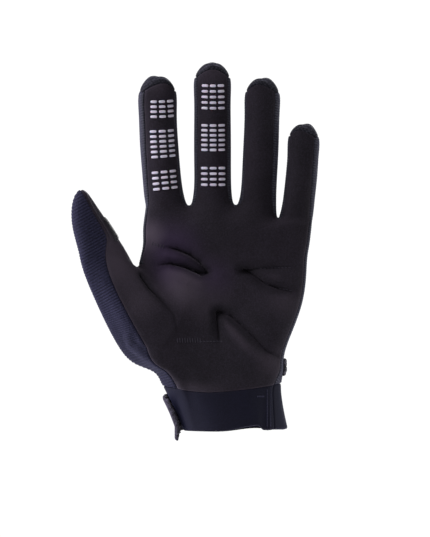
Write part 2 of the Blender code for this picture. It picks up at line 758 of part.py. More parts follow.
def add_grips(tree):
    """A thin printed film for each group, with its bars standing on it."""
    for group in GRIP_GROUPS:
        finger = FINGERS[group.finger]
        half = 0.5 * math.degrees(GRIP_BAR_WIDTH / (0.5 * finger.width))
        angles = []
        for column in range(GRIP_COLUMNS):
            middle = group.turn + (column - 0.5 * (GRIP_COLUMNS - 1)) * GRIP_SPREAD
            angles += [middle - half, middle, middle + half]
        heights = []
        for row in range(group.rows):
            middle = group.up * finger.length + row * group.pitch * GRIP_PITCH
            heights += [middle - GRIP_BAR_LENGTH / 2, middle + GRIP_BAR_LENGTH / 2]

        def place(angle, height, thick):
            centre = finger_line(finger, height)
            line = (finger_line(finger, height + 0.001) - centre).normalized()
            right = AWAY.cross(line).normalized()
            way = outward(right.cross(line), right, angle)
            return on_form(tree, centre, way, GRIP_CLEAR + thick)

        work, top = lay_sheet(angles, heights, place, GRIP_FILM)
        cell = work.verts.layers.float_vector["cell"]
        bars = []
        for face in top:
            angle, height = (sum(vertex[cell][axis] for vertex in face.verts) / 4 for axis in (0, 1))
            column = sum(edge < angle for edge in angles)
            row = sum(edge < height for edge in heights)
            if column % 3 and row % 2:
                bars.append(face)
        for item in bmesh.ops.extrude_face_region(work, geom=bars)["geom"]:
            if isinstance(item, bmesh.types.BMVert):
                angle, height, _ = item[cell]
                item.co = place(angle, height, GRIP_FILM + GRIP_HEIGHT)
        bmesh.ops.delete(work, geom=bars, context="FACES")
        bmesh.ops.recalc_face_normals(work, faces=work.faces[:])
        finish_mesh(work, group.name, GRIP_COLOUR, 0.5)


def main():
    clear_scene()
    form = fit_form(build_cage())
    add_panels(form)
    places = [vertex.co for vertex in form.vertices]
    tree = BVHTree.FromPolygons(places, [polygon.vertices for polygon in form.polygons])
    add_strap(tree)
    add_thumb_guard(tree)
    add_grips(tree)


main()
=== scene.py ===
import math
from collections import namedtuple

import bmesh
import bpy
from mathutils import Matrix, Vector, noise
from mathutils.bvhtree import BVHTree
from mathutils.geometry import intersect_point_line
from mathutils.kdtree import KDTree


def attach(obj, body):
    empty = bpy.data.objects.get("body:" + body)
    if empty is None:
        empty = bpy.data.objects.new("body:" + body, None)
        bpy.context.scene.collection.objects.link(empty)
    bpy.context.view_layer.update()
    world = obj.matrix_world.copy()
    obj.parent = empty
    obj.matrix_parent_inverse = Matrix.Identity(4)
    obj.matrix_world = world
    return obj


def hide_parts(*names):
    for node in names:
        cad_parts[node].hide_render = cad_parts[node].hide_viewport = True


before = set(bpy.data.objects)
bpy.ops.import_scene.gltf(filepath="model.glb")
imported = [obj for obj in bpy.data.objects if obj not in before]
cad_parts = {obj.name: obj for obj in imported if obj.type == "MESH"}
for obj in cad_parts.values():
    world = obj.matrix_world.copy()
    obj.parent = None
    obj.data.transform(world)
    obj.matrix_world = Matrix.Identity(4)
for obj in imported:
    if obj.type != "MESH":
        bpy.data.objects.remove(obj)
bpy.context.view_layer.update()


# The glove's form. The real panels are sewn up inside out, turned, and shaped on a metal hand.
# Here one closed form stands for that hand, and every panel is cut from it, so their edges meet.

CUFF_LENGTH = 0.0270
CUFF_LEAN = 0.0085
HEM_WIDTH = 0.0625
HEM_DEPTH = 0.0470
HEM_RISE = 0.0042
WRIST_WIDTH = 0.0715
WRIST_DEPTH = 0.0430
PALM_LENGTH = 0.1075
PALM_WIDTH = 0.1010
PALM_DEPTH = 0.0320
PALM_SHIFT = 0.0045
FINGER_DEPTH_SHARE = 0.92
FINGER_CURL = 0.0080
THUMB_REACH = 0.0360
THUMB_RISE = 0.0490
THUMB_WIDTH = 0.0252
THUMB_DEPTH = 0.0240
THUMB_FORWARD = 0.0200
SEAM_UP = CUFF_LENGTH
ROOT_UP = CUFF_LENGTH + PALM_LENGTH
UP = Vector((0, 0, 1))
AWAY = Vector((0, 1, 0))

COLUMNS = 9
RING_SIZE = 2 * COLUMNS + 2
LITTLE_SIDE = COLUMNS
THUMB_SIDE = RING_SIZE - 1

# Rings of the hand from the finger roots down, as shares of the palm's length, width and depth
HandRow = namedtuple(
    "HandRow", "up left_front left_side left_back right_front right_side thenar hollow heel back"
)
HAND_ROWS = (
    HandRow(0.880, -0.494, -0.497, -0.470, 0.478, 0.486, 0.40, 0.42, 0.40, 0.47),
    HandRow(0.780, -0.495, -0.497, -0.474, 0.465, 0.472, 0.42, 0.41, 0.42, 0.50),
    HandRow(0.684, -0.510, -0.515, -0.495, 0.451, 0.458, 0.47, 0.40, 0.45, 0.52),
    HandRow(0.459, -0.340, -0.420, -0.500, 0.424, 0.432, 0.66, 0.40, 0.54, 0.56),
    HandRow(0.210, -0.486, -0.590, -0.640, 0.325, 0.334, 0.66, 0.56, 0.62, 0.60),
    HandRow(0.092, -0.380, -0.440, -0.460, 0.309, 0.322, 0.64, 0.60, 0.62, 0.62),
)
PALM_EDGE_ROLL = 0.42
BALL_ROLL = 0.08

# Fingers: length and width, then place and lean across the palm, root height and twist in degrees
Finger = namedtuple("Finger", "length width root tip bow rise turn")
FINGERS = (
    Finger(0.0780, 0.0222, -0.376, -0.422, -0.014, 0.000, 14),
    Finger(0.0855, 0.0214, -0.094, -0.096, 0.000, 0.006, 0),
    Finger(0.0782, 0.0204, 0.172, 0.203, 0.006, -0.014, -12),
    Finger(0.0570, 0.0182, 0.402, 0.449, 0.010, -0.076, -16),
)
CROTCHES = ((-0.235, 0.000), (0.038, 0.005), (0.288, -0.068))
FINGER_RINGS = ((0.13, 1.03, 1.00), (0.40, 1.00, 1.00), (0.70, 1.00, 0.99), (1.00, 0.99, 0.95))
SEAM_RING = (0.39, 0.96, 0.88)
TIP_RING = (0.055, 0.50, 0.42)
TIP_ARCH = 0.295
TIP_LIFT = 0.05
TIP_TUCK = 0.26
FINGER_SQUARE = 2.3
FINGER_ANGLES = (-58, 0, 58, 90, 122, 180, 238, 270)

# Rings up the thumb: outward, upward, width, depth, forward, lean in degrees, turn of the seam
THUMB_RINGS = (
    (0.500, -0.005, 1.15, 1.08, 0.35, 25, -4),
    (0.700, 0.320, 0.98, 1.00, 0.62, 24, 31),
    (0.875, 0.630, 0.76, 0.90, 0.84, 20, 32),
    (0.965, 0.885, 0.42, 0.62, 0.98, 16, 26),
)
THUMB_TIP = (0.99, 1.00, 1.02)
THUMB_SQUARE = 2.1
THUMB_ANGLES = (72, 46, 0, -42, -79, -170, 130, 95)

PANELS = (
    "palm_panel", "index_side_strip", "fourchette_index_middle", "fourchette_middle_ring",
    "fourchette_ring_little", "little_side_strip", "back_panel", "thumb_panel", "thumb_gusset",
    "thumb_back", "cuff_front", "cuff_back",
)
SLOT = {name: number for number, name in enumerate(PANELS)}
SIDE_SLOTS = tuple(SLOT[name] for name in PANELS[1:6])


def across(share):
    return share * PALM_WIDTH - PALM_SHIFT


def ease(share):
    """A smooth step from 0 to 1."""
    share = min(1, max(0, share))
    return share * share * (3 - 2 * share)


def palm_profile(row, share):
    """Depth in front of the middle plane: thumb ball, hollow and heel, rolled off at both edges."""
    ball = row.thenar if share < 0.5 else row.heel
    deep = ball + (row.hollow - ball) * math.sin(math.pi * share) ** 2
    roll = BALL_ROLL if share < 0.5 and row.thenar > 0.6 else PALM_EDGE_ROLL
    return deep * (1 - roll * abs(2 * share - 1) ** 4)


def hand_ring(row):
    """One ring of the hand: front from thumb to little finger, little side, back, thumb side."""
    high = SEAM_UP + row.up * PALM_LENGTH
    front, back = [], []
    for column in range(COLUMNS):
        share = column / (COLUMNS - 1)
        roll = 1 - PALM_EDGE_ROLL * abs(2 * share - 1) ** 4
        x = across(row.left_front + (row.right_front - row.left_front) * share)
        front.append(Vector((x, -palm_profile(row, share) * PALM_DEPTH, high)))
        x = across(row.left_back + (row.right_front - row.left_back) * share)
        back.append(Vector((x, row.back * roll * PALM_DEPTH, high)))
    little = Vector((across(row.right_side), 0, high))
    thumb = Vector((across(row.left_side), -0.1 * PALM_DEPTH, high))
    return front + [little] + back[::-1] + [thumb]


def root_ring():
    """The ring at the finger roots, where each crotch is a point that two fingers share."""
    first, last = FINGERS[0], FINGERS[-1]
    corners = [(first.root * PALM_WIDTH - first.width * 0.46, 0)]
    corners += [(place * PALM_WIDTH, rise) for place, rise in CROTCHES]
    corners += [(last.root * PALM_WIDTH + last.width * 0.46, last.rise)]
    front, back = [], []
    for column in range(COLUMNS):
        finger = FINGERS[min(column // 2, len(FINGERS) - 1)]
        deep = 0.5 * finger.width * FINGER_DEPTH_SHARE
        if column % 2:
            x, rise = finger.root * PALM_WIDTH, finger.rise
            front_deep, back_deep, drop = 1.02 * deep, 1.12 * deep, 0.03
        else:
            x, rise = corners[column // 2]
            inner = 0 < column < COLUMNS - 1
            front_deep, back_deep, drop = 0.62 * deep, 0.72 * deep, 0.05 if inner else 0.03
        high = ROOT_UP + rise * PALM_WIDTH
        front.append(Vector((x - PALM_SHIFT, -front_deep, high)))
        back.append(Vector((x - PALM_SHIFT, back_deep, high - drop * PALM_WIDTH)))
    little = Vector((across(last.root) + 0.5 * last.width, 0, front[-1].z))
    thumb = Vector((across(first.root) - 0.5 * first.width, 0, front[0].z))
    return front + [little] + back[::-1] + [thumb]


def oval(wide, deep, angle, power):
    """A point of a squarish oval, at an angle from its front towards its right."""
    s, c = math.sin(math.radians(angle)), math.cos(math.radians(angle))
    return (
        0.5 * wide * math.copysign(abs(s) ** (2 / power), s),
        0.5 * deep * math.copysign(abs(c) ** (2 / power), c),
    )


def finger_line(finger, up):
    """A point of the finger's middle line, up metres above its root."""
    share = up / finger.length
    x = finger.root + (finger.tip - finger.root) * share + finger.bow * math.sin(math.pi * share)
    return Vector((across(x), -FINGER_CURL * share**2, ROOT_UP + finger.rise * PALM_WIDTH + up))


def finger_frame(finger, up):
    """The middle point at a height, and the ways right and front of the finger there."""
    centre = finger_line(finger, up)
    line = (finger_line(finger, up + 0.001) - centre).normalized()
    right = AWAY.cross(line).normalized()
    return centre, right, right.cross(line), line


def finger_rings(finger):
    """Places of the rings up one finger."""
    straight = finger.length - finger.width
    steps = [(up * straight, wide, deep, 0) for up, wide, deep in FINGER_RINGS]
    steps.append((finger.length - SEAM_RING[0] * finger.width, *SEAM_RING[1:], TIP_ARCH))
    steps.append((finger.length - TIP_RING[0] * finger.width, *TIP_RING[1:], 0))
    rings = []
    for number, (up, wide, deep, arch) in enumerate(steps):
        centre, right, front, line = finger_frame(finger, up)
        turn = finger.turn * min(1, 0.4 + 0.3 * number)
        places = []
        for angle in FINGER_ANGLES:
            across_ring, through = finger.width * wide, finger.width * FINGER_DEPTH_SHARE * deep
            x, y = oval(across_ring, through, angle + turn, FINGER_SQUARE)
            place = centre + right * x + front * y
            if arch and angle in (0, 180):
                place += line * arch * finger.width - front * TIP_TUCK * y
            elif arch and abs(angle) == FINGER_ANGLES[2]:
                place += line * TIP_LIFT * finger.width
            places.append(place)
        rings.append(places)
    return rings


WEB_POINT = Vector((across(-0.523), -0.002, SEAM_UP + 0.640 * PALM_LENGTH))


def thumb_centre(out, up, forward):
    return WEB_POINT + Vector((-out * THUMB_REACH, -forward * THUMB_FORWARD, up * THUMB_RISE))


def thumb_rings():
    rings = []
    for out, up, wide, deep, forward, lean, seam in THUMB_RINGS:
        right = Vector((math.cos(math.radians(lean)), 0, math.sin(math.radians(lean))))
        places = []
        for number, angle in enumerate(THUMB_ANGLES):
            turn = seam * {2: 1, 3: 0.5}.get(number, 0)
            x, y = oval(wide * THUMB_WIDTH, deep * THUMB_DEPTH, angle + turn, THUMB_SQUARE)
            places.append(thumb_centre(out, up, forward) + right * x - AWAY * y)
        rings.append(places)
    return rings


# Rings up the cuff: height and lean shares, width, depth, dip of the seam, rise of the hem, and how
# far round the front reaches on both sides
CUFF_ROWS = (
    (0.0, HEM_WIDTH, HEM_DEPTH, 0.0, 1.0, 60, 46),
    (0.5, (HEM_WIDTH + WRIST_WIDTH) / 2.06, (HEM_DEPTH + WRIST_DEPTH) / 2.04, 0.4, 0.7, 54, 54),
    (1.0, WRIST_WIDTH, WRIST_DEPTH, 1.0, 0.4, 46, 59),
)
SEAM_DIP = 0.15
CUFF_BACK_SPAN = 52
CUFF_SQUARE = 2.15


def cuff_ring(up, wide, deep, dip, rise, left, right):
    """Places of one ring round the wrist, with as many columns as the hand's rings."""
    places = []
    for number in range(RING_SIZE):
        if number < COLUMNS:
            share = 2 * number / (COLUMNS - 1) - 1
            angle = share * (left if share < 0 else right)
        elif number in (LITTLE_SIDE, THUMB_SIDE):
            angle = 90 if number == LITTLE_SIDE else -90
        else:
            angle = 180 - CUFF_BACK_SPAN * (1 - 2 * (number - COLUMNS - 1) / (COLUMNS - 1))
        x, y = oval(wide, deep, angle, CUFF_SQUARE)
        high = up * CUFF_LENGTH - dip * SEAM_DIP * CUFF_LENGTH * (1 - (2 * x / wide) ** 2)
        high += rise * HEM_RISE * ease((2 * x / wide + 0.45) / 0.95)
        places.append(Vector((x - up * CUFF_LEAN, -y, high)))
    return places


def grow_ring(cage, ring, places, slots):
    """Extrudes a closed ring to its new places, and gives the new faces their panels."""
    size = len(ring)
    edges = [cage.edges.get((ring[n], ring[(n + 1) % size])) for n in range(size)]
    made = bmesh.ops.extrude_edge_only(cage, edges=edges)["geom"]
    fresh = {item for item in made if isinstance(item, bmesh.types.BMVert)}
    grown = []
    for vertex, place in zip(ring, places):
        ends = (edge.other_vert(vertex) for edge in vertex.link_edges)
        twin = next(end for end in ends if end in fresh)
        twin.co = place
        grown.append(twin)
    for n, slot in enumerate(slots):
        for face in cage.edges.get((grown[n], grown[(n + 1) % size])).link_faces:
            face.material_index = slot
    return grown


def close_tip(cage, ring, place, slots, first):
    """Four faces from a ring of eight to one vertex at the tip."""
    tip = cage.verts.new(place)
    for quarter in range(4):
        corners = [ring[(first + 2 * quarter + step) % 8] for step in range(3)]
        cage.faces.new(corners + [tip]).material_index = slots[quarter]


def hand_slots(thumb_side):
    front, back = [SLOT["palm_panel"]] * (COLUMNS - 1), [SLOT["back_panel"]] * (COLUMNS - 1)
    return front + [SLOT["little_side_strip"]] * 2 + back + [SLOT[thumb_side]] * 2


def grow_thumb(cage, ring):
    leather, gusset, back = SLOT["thumb_panel"], SLOT["thumb_gusset"], SLOT["thumb_back"]
    slots = [leather, leather, gusset, gusset, back, back, leather, leather]
    for places in thumb_rings():
        ring = grow_ring(cage, ring, places, slots)
    close_tip(cage, ring, thumb_centre(*THUMB_TIP), slots[::2], 0)


def grow_fingers(cage, roots):
    """Joins front and back at each crotch, then grows the four fingers from the roots."""
    webs = []
    for number in range(1, len(FINGERS)):
        front, back = roots[2 * number], roots[2 * COLUMNS - 2 * number]
        web = cage.verts.new((front.co + back.co) / 2 + UP * 0.001)
        cage.edges.new((front, web))
        cage.edges.new((web, back))
        webs.append(web)
    sides = [roots[THUMB_SIDE]] + webs + [roots[LITTLE_SIDE]]
    palm, wrap = SLOT["palm_panel"], SLOT["back_panel"]
    for number, finger in enumerate(FINGERS):
        first = 2 * number
        ring = roots[first : first + 3] + [sides[number + 1]]
        ring += [roots[2 * COLUMNS - first - step] for step in (2, 1, 0)] + [sides[number]]
        left, right = SIDE_SLOTS[number : number + 2]
        slots = [palm, palm, right, right, wrap, wrap, left, left]
        rings = finger_rings(finger)
        for places in rings:
            ring = grow_ring(cage, ring, places, [wrap] * 8 if places is rings[-1] else slots)
        close_tip(cage, ring, finger_line(finger, finger.length), [wrap] * 4, 7)


def build_cage():
    """The coarse cage of the whole glove, open at the cuff's hem."""
    cage = bmesh.new()
    ring = bmesh.ops.create_circle(cage, segments=RING_SIZE, radius=HEM_WIDTH)["verts"]
    for vertex, place in zip(ring, cuff_ring(*CUFF_ROWS[0])):
        vertex.co = place
    front, back = SLOT["cuff_front"], SLOT["cuff_back"]
    for row in CUFF_ROWS[1:]:
        slots = [front] * (COLUMNS - 1) + [back] * (COLUMNS + 1) + [front] * 2
        ring = grow_ring(cage, ring, cuff_ring(*row), slots)
    levels = []
    for row in HAND_ROWS[:2:-1]:
        ring = grow_ring(cage, ring, hand_ring(row), hand_slots("thumb_gusset"))
        levels.append(ring)
    low, centre = levels[1:]
    high = ring = grow_ring(cage, ring, hand_ring(HAND_ROWS[2]), hand_slots("thumb_gusset"))
    for places in (hand_ring(HAND_ROWS[1]), hand_ring(HAND_ROWS[0]), root_ring()):
        ring = grow_ring(cage, ring, places, hand_slots("index_side_strip"))
    corner = THUMB_SIDE - 1
    low[THUMB_SIDE].co = Vector((across(-0.575), -0.30 * PALM_DEPTH, low[THUMB_SIDE].co.z))
    low[corner].co = Vector((across(-0.640), 0.10 * PALM_DEPTH, low[THUMB_SIDE].co.z))
    high[THUMB_SIDE].co = WEB_POINT
    bmesh.ops.delete(cage, geom=[centre[THUMB_SIDE]], context="VERTS")
    root = [high[0], centre[0], low[0], low[THUMB_SIDE]]
    grow_thumb(cage, root + [low[corner], centre[corner], high[corner], high[THUMB_SIDE]])
    grow_fingers(cage, ring)
    bmesh.ops.recalc_face_normals(cage, faces=cage.faces)
    return cage


FIT_ROUNDS = 4
FORM_LEVELS = 3


def set_out(name, data):
    """A new object in the scene, at the world's origin."""
    item = bpy.data.objects.new(name, data)
    bpy.context.scene.collection.objects.link(item)
    return item


def fit_form(cage):
    """The subdivided form, whose surface passes through the cage's own points."""
    mesh = bpy.data.meshes.new("hand_form")
    cage.to_mesh(mesh)
    cage.free()
    for name in PANELS:
        mesh.materials.append(bpy.data.materials.new(name + "_place"))
    form = set_out("hand_form", mesh)
    smooth = form.modifiers.new("smooth", "SUBSURF")
    smooth.levels = smooth.render_levels = 1
    wanted = [vertex.co.copy() for vertex in mesh.vertices]
    for _ in range(FIT_ROUNDS):
        graph = bpy.context.evaluated_depsgraph_get()
        reached = form.evaluated_get(graph).data.vertices
        moves = [want - reached[n].co for n, want in enumerate(wanted)]
        for vertex, move in zip(mesh.vertices, moves):
            vertex.co += move
        mesh.update()
        bpy.context.view_layer.update()
    smooth.levels = smooth.render_levels = FORM_LEVELS
    fitted = bpy.data.meshes.new_from_object(
        form.evaluated_get(bpy.context.evaluated_depsgraph_get())
    )
    bpy.data.objects.remove(form)
    return fitted


form = fit_form(build_cage())


# The palm and the thumb's front. Microfibre suede, 1.2 mm thick, joined along the web in one shell.
# Darts are sewn in under the fingers and over the heel, so that it folds there and puffs between.

LEATHER = 0.0012
RIM_CUTS = 3
SHARP_ANGLE = 55


def from_line(place, start, end):
    """How far a place is from a straight piece of line, and how far along it that is."""
    share = min(1, max(0, intersect_point_line(place, start, end)[1]))
    return (place - start.lerp(end, share)).length, share


def cut_panel(*names):
    """One panel's faces of the form, with finer faces along its sewn edge."""
    panel = bmesh.new()
    panel.from_mesh(form)
    inwards = panel.verts.layers.float_vector.new("inwards")
    for vertex in panel.verts:
        vertex[inwards] = -vertex.normal
    slots = [SLOT[name] for name in names]
    others = [face for face in panel.faces if face.material_index not in slots]
    bmesh.ops.delete(panel, geom=others, context="FACES")
    last = [edge for edge in panel.edges if sum(vertex.is_boundary for vertex in edge.verts) == 1]
    bmesh.ops.subdivide_edges(panel, edges=last, cuts=RIM_CUTS, use_grid_fill=True)
    near = panel.verts.layers.float.new("seam")
    rim = [vertex for vertex in panel.verts if vertex.is_boundary]
    tree = KDTree(len(rim))
    for number, vertex in enumerate(rim):
        tree.insert(vertex.co, number)
    tree.balance()
    for vertex in panel.verts:
        _, number, gap = tree.find(vertex.co)
        for edge in rim[number].link_edges:
            if edge.is_boundary:
                gap = min(gap, from_line(vertex.co, *(end.co for end in edge.verts))[0])
        vertex[near] = gap
    return panel


def line_panel(panel, wall):
    """Gives the panel its thickness: an inner wall, and the cut edge between the two."""
    inwards = panel.verts.layers.float_vector["inwards"]
    lining = panel.verts.layers.float.new("lining")
    made = bmesh.ops.extrude_face_region(panel, geom=panel.faces[:], use_keep_orig=True)["geom"]
    for item in made:
        if isinstance(item, bmesh.types.BMVert):
            item.co += item[inwards] * wall
            item[lining] = 1
    bmesh.ops.recalc_face_normals(panel, faces=panel.faces[:])


def cut_finer(panel, upwards, cuts, low=-1, high=1):
    """Cuts the outer faces finer between two heights, across the edges that run up or sideways."""
    lining = panel.verts.layers.float["lining"]
    chosen = []
    for edge in panel.edges:
        start, end = (vertex.co for vertex in edge.verts)
        steep = abs(end.z - start.z) > 0.7 * (end - start).length
        if steep == upwards and low < (start.z + end.z) / 2 < high:
            if all(vertex[lining] == 0 for face in edge.link_faces for vertex in face.verts):
                chosen.append(edge)
    bmesh.ops.subdivide_edges(panel, edges=chosen, cuts=cuts, use_grid_fill=True)


def cut_to(panel, longest):
    """Halves the outer faces' edges until none is longer than this."""
    lining = panel.verts.layers.float["lining"]
    for _ in range(4):
        chosen = []
        for edge in panel.edges:
            if edge.calc_length() > longest and not any(
                vertex[lining] for face in edge.link_faces for vertex in face.verts
            ):
                chosen.append(edge)
        bmesh.ops.subdivide_edges(panel, edges=chosen, cuts=1, use_grid_fill=True)


def press_panel(panel, depth):
    """Moves every point inwards by what depth says of its place, its seam distance and its side."""
    inwards = panel.verts.layers.float_vector["inwards"]
    near, lining = (panel.verts.layers.float[name] for name in ("seam", "lining"))
    for vertex in panel.verts:
        way = vertex[inwards].normalized()
        vertex.co += way * depth(vertex.co, vertex[near], vertex[lining])


def turned_edge(gap, reach, deep):
    """The round that cloth makes where it turns down into a seam."""
    share = 1 - min(1, gap / reach)
    return deep * (1 - math.sqrt(1 - share * share))


def show_piece(work, name, material, nodes=()):
    """Makes the finished mesh a piece of the glove, which stands for its CAD nodes."""
    mesh = bpy.data.meshes.new(name)
    work.to_mesh(mesh)
    work.free()
    mesh.materials.clear()
    mesh.materials.append(material)
    for polygon in mesh.polygons:
        polygon.material_index = 0
        polygon.use_smooth = True
    mesh.set_sharp_from_angle(angle=math.radians(SHARP_ANGLE))
    for layer in ("inwards", "lining"):
        if layer in mesh.attributes:
            mesh.attributes.remove(mesh.attributes[layer])
    piece = set_out(name, mesh)
    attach(piece, "root")
    if nodes:
        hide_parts(*nodes)
    return piece


def linear(code):
    """An sRGB hex colour as the linear one that Blender mixes."""
    shares = (int(code[n : n + 2], 16) / 255 for n in (1, 3, 5))
    return (*(s / 12.92 if s < 0.04045 else ((s + 0.055) / 1.055) ** 2.4 for s in shares), 1)


def add(tree, kind, inputs=(), **settings):
    """Adds a node with its settings, its values and its links."""
    node = tree.nodes.new(kind)
    for name, value in settings.items():
        setattr(node, name, value)
    for socket, value in dict(inputs).items():
        if isinstance(value, bpy.types.NodeSocket):
            tree.links.new(value, node.inputs[socket])
        else:
            node.inputs[socket].default_value = value
    return node


def start_finish(name, **values):
    """A new material with its constant values set on the shader, and its object coordinates."""
    material = bpy.data.materials.new(name)
    material.use_nodes = True
    tree = material.node_tree
    shader = tree.nodes["Principled BSDF"]
    for socket, value in values.items():
        shader.inputs[socket.replace("_", " ")].default_value = value
    return material, tree, shader, add(tree, "ShaderNodeTexCoord").outputs["Object"]


def join_shader(tree, shader, colour, relief=None):
    """Links a finished colour, and a relief if there is one, to the shader."""
    tree.links.new(colour, shader.inputs["Base Color"])
    if relief:
        tree.links.new(relief.outputs["Normal"], shader.inputs["Normal"])


# Microfibre suede, dyed through and brushed: it takes light softly, with a pale nap at grazing
# angles.
# It is painted warmer and paler where the palm is padded and on the ridges of its folds, partly
# wear and partly painted light, with a painted purple sheen at the upper left and painted shade in
# its creases and darker places. Its nap is finer than a pixel of the render, so the clumps are
# drawn at 0.8 mm.
suede, tree, shader, place = start_finish(
    "microfibre_suede", Roughness=0.85, Sheen_Weight=0.22, Sheen_Roughness=0.45,
    Sheen_Tint=linear("#c9bdd2"), Specular_IOR_Level=0.18,
)
clumps = add(
    tree, "ShaderNodeTexNoise", {"Vector": place, "Scale": 1250, "Detail": 5, "Roughness": 0.65}
)
patches = add(tree, "ShaderNodeTexNoise", {"Vector": place, "Scale": 70, "Detail": 3})
dye = add(tree, "ShaderNodeTexNoise", {"Vector": place, "Scale": 22, "Detail": 1})
colour = linear("#161418")
for cloud, low, high, most, code in (
    (dye, 0.38, 0.62, 1, "#1d181f"), (patches, 0.3, 0.7, 0.6, "#242027"),
    (clumps, 0.42, 0.66, 0.45, "#35303c"),
):
    share = add(
        tree, "ShaderNodeMapRange",
        {"Value": cloud.outputs["Fac"], "From Min": low, "From Max": high, "To Max": most},
    ).outputs["Result"]
    colour = add(
        tree, "ShaderNodeMix", {0: share, 6: colour, 7: linear(code)}, data_type="RGBA"
    ).outputs[2]
# Painted sheen, a paler tone that is partly wear and partly painted light, and painted shade, from
# the palm's attributes
for layer, code in (("painted_sheen", "#372a43"), ("wear_and_painted_light", "#554c57"), ("shade", "#08070a")):
    share = add(tree, "ShaderNodeAttribute", attribute_name=layer).outputs["Fac"]
    colour = add(
        tree, "ShaderNodeMix", {0: share, 6: colour, 7: linear(code)}, data_type="RGBA"
    ).outputs[2]
relief = add(
    tree, "ShaderNodeBump",
    {"Height": clumps.outputs["Fac"], "Strength": 0.5, "Distance": 0.00035},
)
join_shader(tree, shader, colour, relief)

# Creases of the palm in millimetres across and up, with each point's depth share. A crease is the
# line where two puffed pads meet, so it is sharp at the bottom and round on both sides.
CREASE_DEPTH = 0.0032
CREASE_REACH = 0.0066
SLIT_DEPTH = 0.0012
SLIT_REACH = 0.0016
CREASES = (
    (
        (-41.5, 110.5, 0.4), (-36, 109.0, 1.0), (-27.6, 105.6, 1.3), (-21.6, 101.1, 1.3),
        (-17.1, 96.0, 0.9), (-16.2, 95.0, 0.4),
    ),
    (
        (-47, 99.5, 0.3), (-39.6, 101.1, 1.0), (-30.6, 99.0, 1.35), (-20.1, 94.4, 1.4),
        (-15.6, 95.1, 0.5),
    ),
    ((4.6, 96.6, 0.8), (14.4, 97.4, 0.45), (24, 98.0, 0.5), (33, 98.1, 0.2)),
    ((4.6, 96.6, 0.8), (11, 93.0, 0.9), (17.4, 88.4, 1.0), (26.4, 85.4, 0.9), (33, 84.0, 0.4)),
    ((-10.8, 71.6, 0.8), (-11.1, 66.6, 0.7), (-10.4, 60.0, 0.65), (-9.6, 54.0, 0.35)),
    (
        (-10.8, 71.6, 0.7), (-9.0, 72.2, 0.8), (-3.6, 69.6, 0.75), (3.0, 64.0, 0.7),
        (9.9, 57.0, 0.65), (18.9, 48.0, 0.45), (26.4, 44.1, 0.15),
    ),
)
# The seam of the thumb's leather, from the web down into the palm: a trough with sunk stitches
THUMB_SEAM = (
    (-57.0, 93.6, 1.0), (-52.0, 86.0, 1.0), (-46.0, 79.8, 0.7), (-37.0, 70.0, 0.35),
    (-34.8, 60.0, 0.1),
)
TROUGH_DEPTH = 0.0014
TROUGH_REACH = 0.0034
STITCH_DEPTH = 0.0008
STITCH_REACH = 0.0010
# Pads and rolls between the creases, standing out
RIDGES = (
    ((-40, 104.5, 0.5), (-33, 105.2, 0.9), (-26, 102.0, 1.0), (-19.5, 97.6, 0.8)),
    ((-40, 95.0, 0.3), (-30, 93.5, 0.7), (-21, 89.5, 0.5)),
    ((12, 95.0, 0.3), (24, 91.5, 0.5)),
    ((-6.5, 66.5, 0.5), (-2.0, 60.5, 1.0), (5.5, 52.0, 0.8), (13, 45, 0.3)),
    ((-33, 27.4, 0.7), (-21, 25.6, 0.7), (-9, 25.0, 0.4)),
)
RIDGE_HEIGHT = 0.0012
RIDGE_REACH = 0.0052


def line_at(place, points):
    """The distance of a place from a line drawn on the palm, and the line's own share there."""
    found = (1, 0)
    for start, end in zip(points, points[1:]):
        gap, share = from_line(
            Vector((place.x, place.z)), *(Vector(point[:2]) * 0.001 for point in (start, end))
        )
        found = min(found, (gap, start[2] + (end[2] - start[2]) * share))
    return found


def crease_depth(place):
    deep = 0
    for points in CREASES:
        gap, share = line_at(place, points)
        deep += share * CREASE_DEPTH * (1 - min(1, gap / CREASE_REACH)) ** 2
        deep += share * SLIT_DEPTH * (1 - min(1, gap / SLIT_REACH)) ** 2
    return deep


def seam_depth(place):
    gap, share = line_at(place, THUMB_SEAM)
    trough = TROUGH_DEPTH * (1 - min(1, gap / TROUGH_REACH)) ** 2
    return share * (trough + STITCH_DEPTH * (1 - min(1, gap / STITCH_REACH)))


def ridge_height(place):
    high = 0
    for points in RIDGES:
        gap, share = line_at(place, points)
        high += share * RIDGE_HEIGHT * (1 - ease(gap / RIDGE_REACH))
    return high


def slack(place, size, deep):
    """The slow waves of cloth that no hand fills tightly."""
    return deep * noise.noise(place / size)


# How wide and deep the leather rounds over at its seams, how far from them it is held flat, and the
# size and depth of its waves
PALM_TURN = (0.0016, 0.0005)
FOLD_HOLD = 0.0035
SLOW_WAVE = (0.014, 0.0003)
SMALL_WAVE = (0.0045, 0.00012)


def palm_shape(place, gap, lining):
    held = ease(gap / FOLD_HOLD)
    deep = turned_edge(gap, *PALM_TURN) * (1 - 0.5 * lining)
    deep += slack(place, *SLOW_WAVE) * held
    if place.z < ROOT_UP:
        deep += (crease_depth(place) - ridge_height(place)) * held
        deep += slack(place, *SMALL_WAVE) * held + seam_depth(place) * ease(gap / 0.001)
    return deep


# Where the suede is painted paler, partly for wear and partly as painted light, where a purple
# sheen is painted on, and where painted shade darkens it: the middle of each place in millimetres
# across and up, its reach and its share
WEAR_AND_LIGHT_SPOTS = (
    (-52, 118, 13, 0.75), (-34, 88, 19, 0.50), (-18, 78, 22, 0.25), (30, 78, 16, 0.25),
    (-70, 104, 26, 0.55), (-58, 79, 18, 0.28), (21, 42, 13, 0.30), (-46, 208, 14, 0.22),
    (-12, 214, 13, 0.22), (-46, 170, 15, 0.12),
)
PAINTED_SHEEN_SPOTS = ((-38, 108, 26, 0.75), (-14, 92, 18, 0.45), (-40, 92, 14, 0.4))
PAINTED_SHADE_SPOTS = (
    (-38, 58, 22, 0.30), (-24, 38, 18, 0.25), (14, 142, 28, 0.30), (42, 132, 24, 0.30),
    (6, 112, 26, 0.15), (38, 165, 20, 0.15),
)


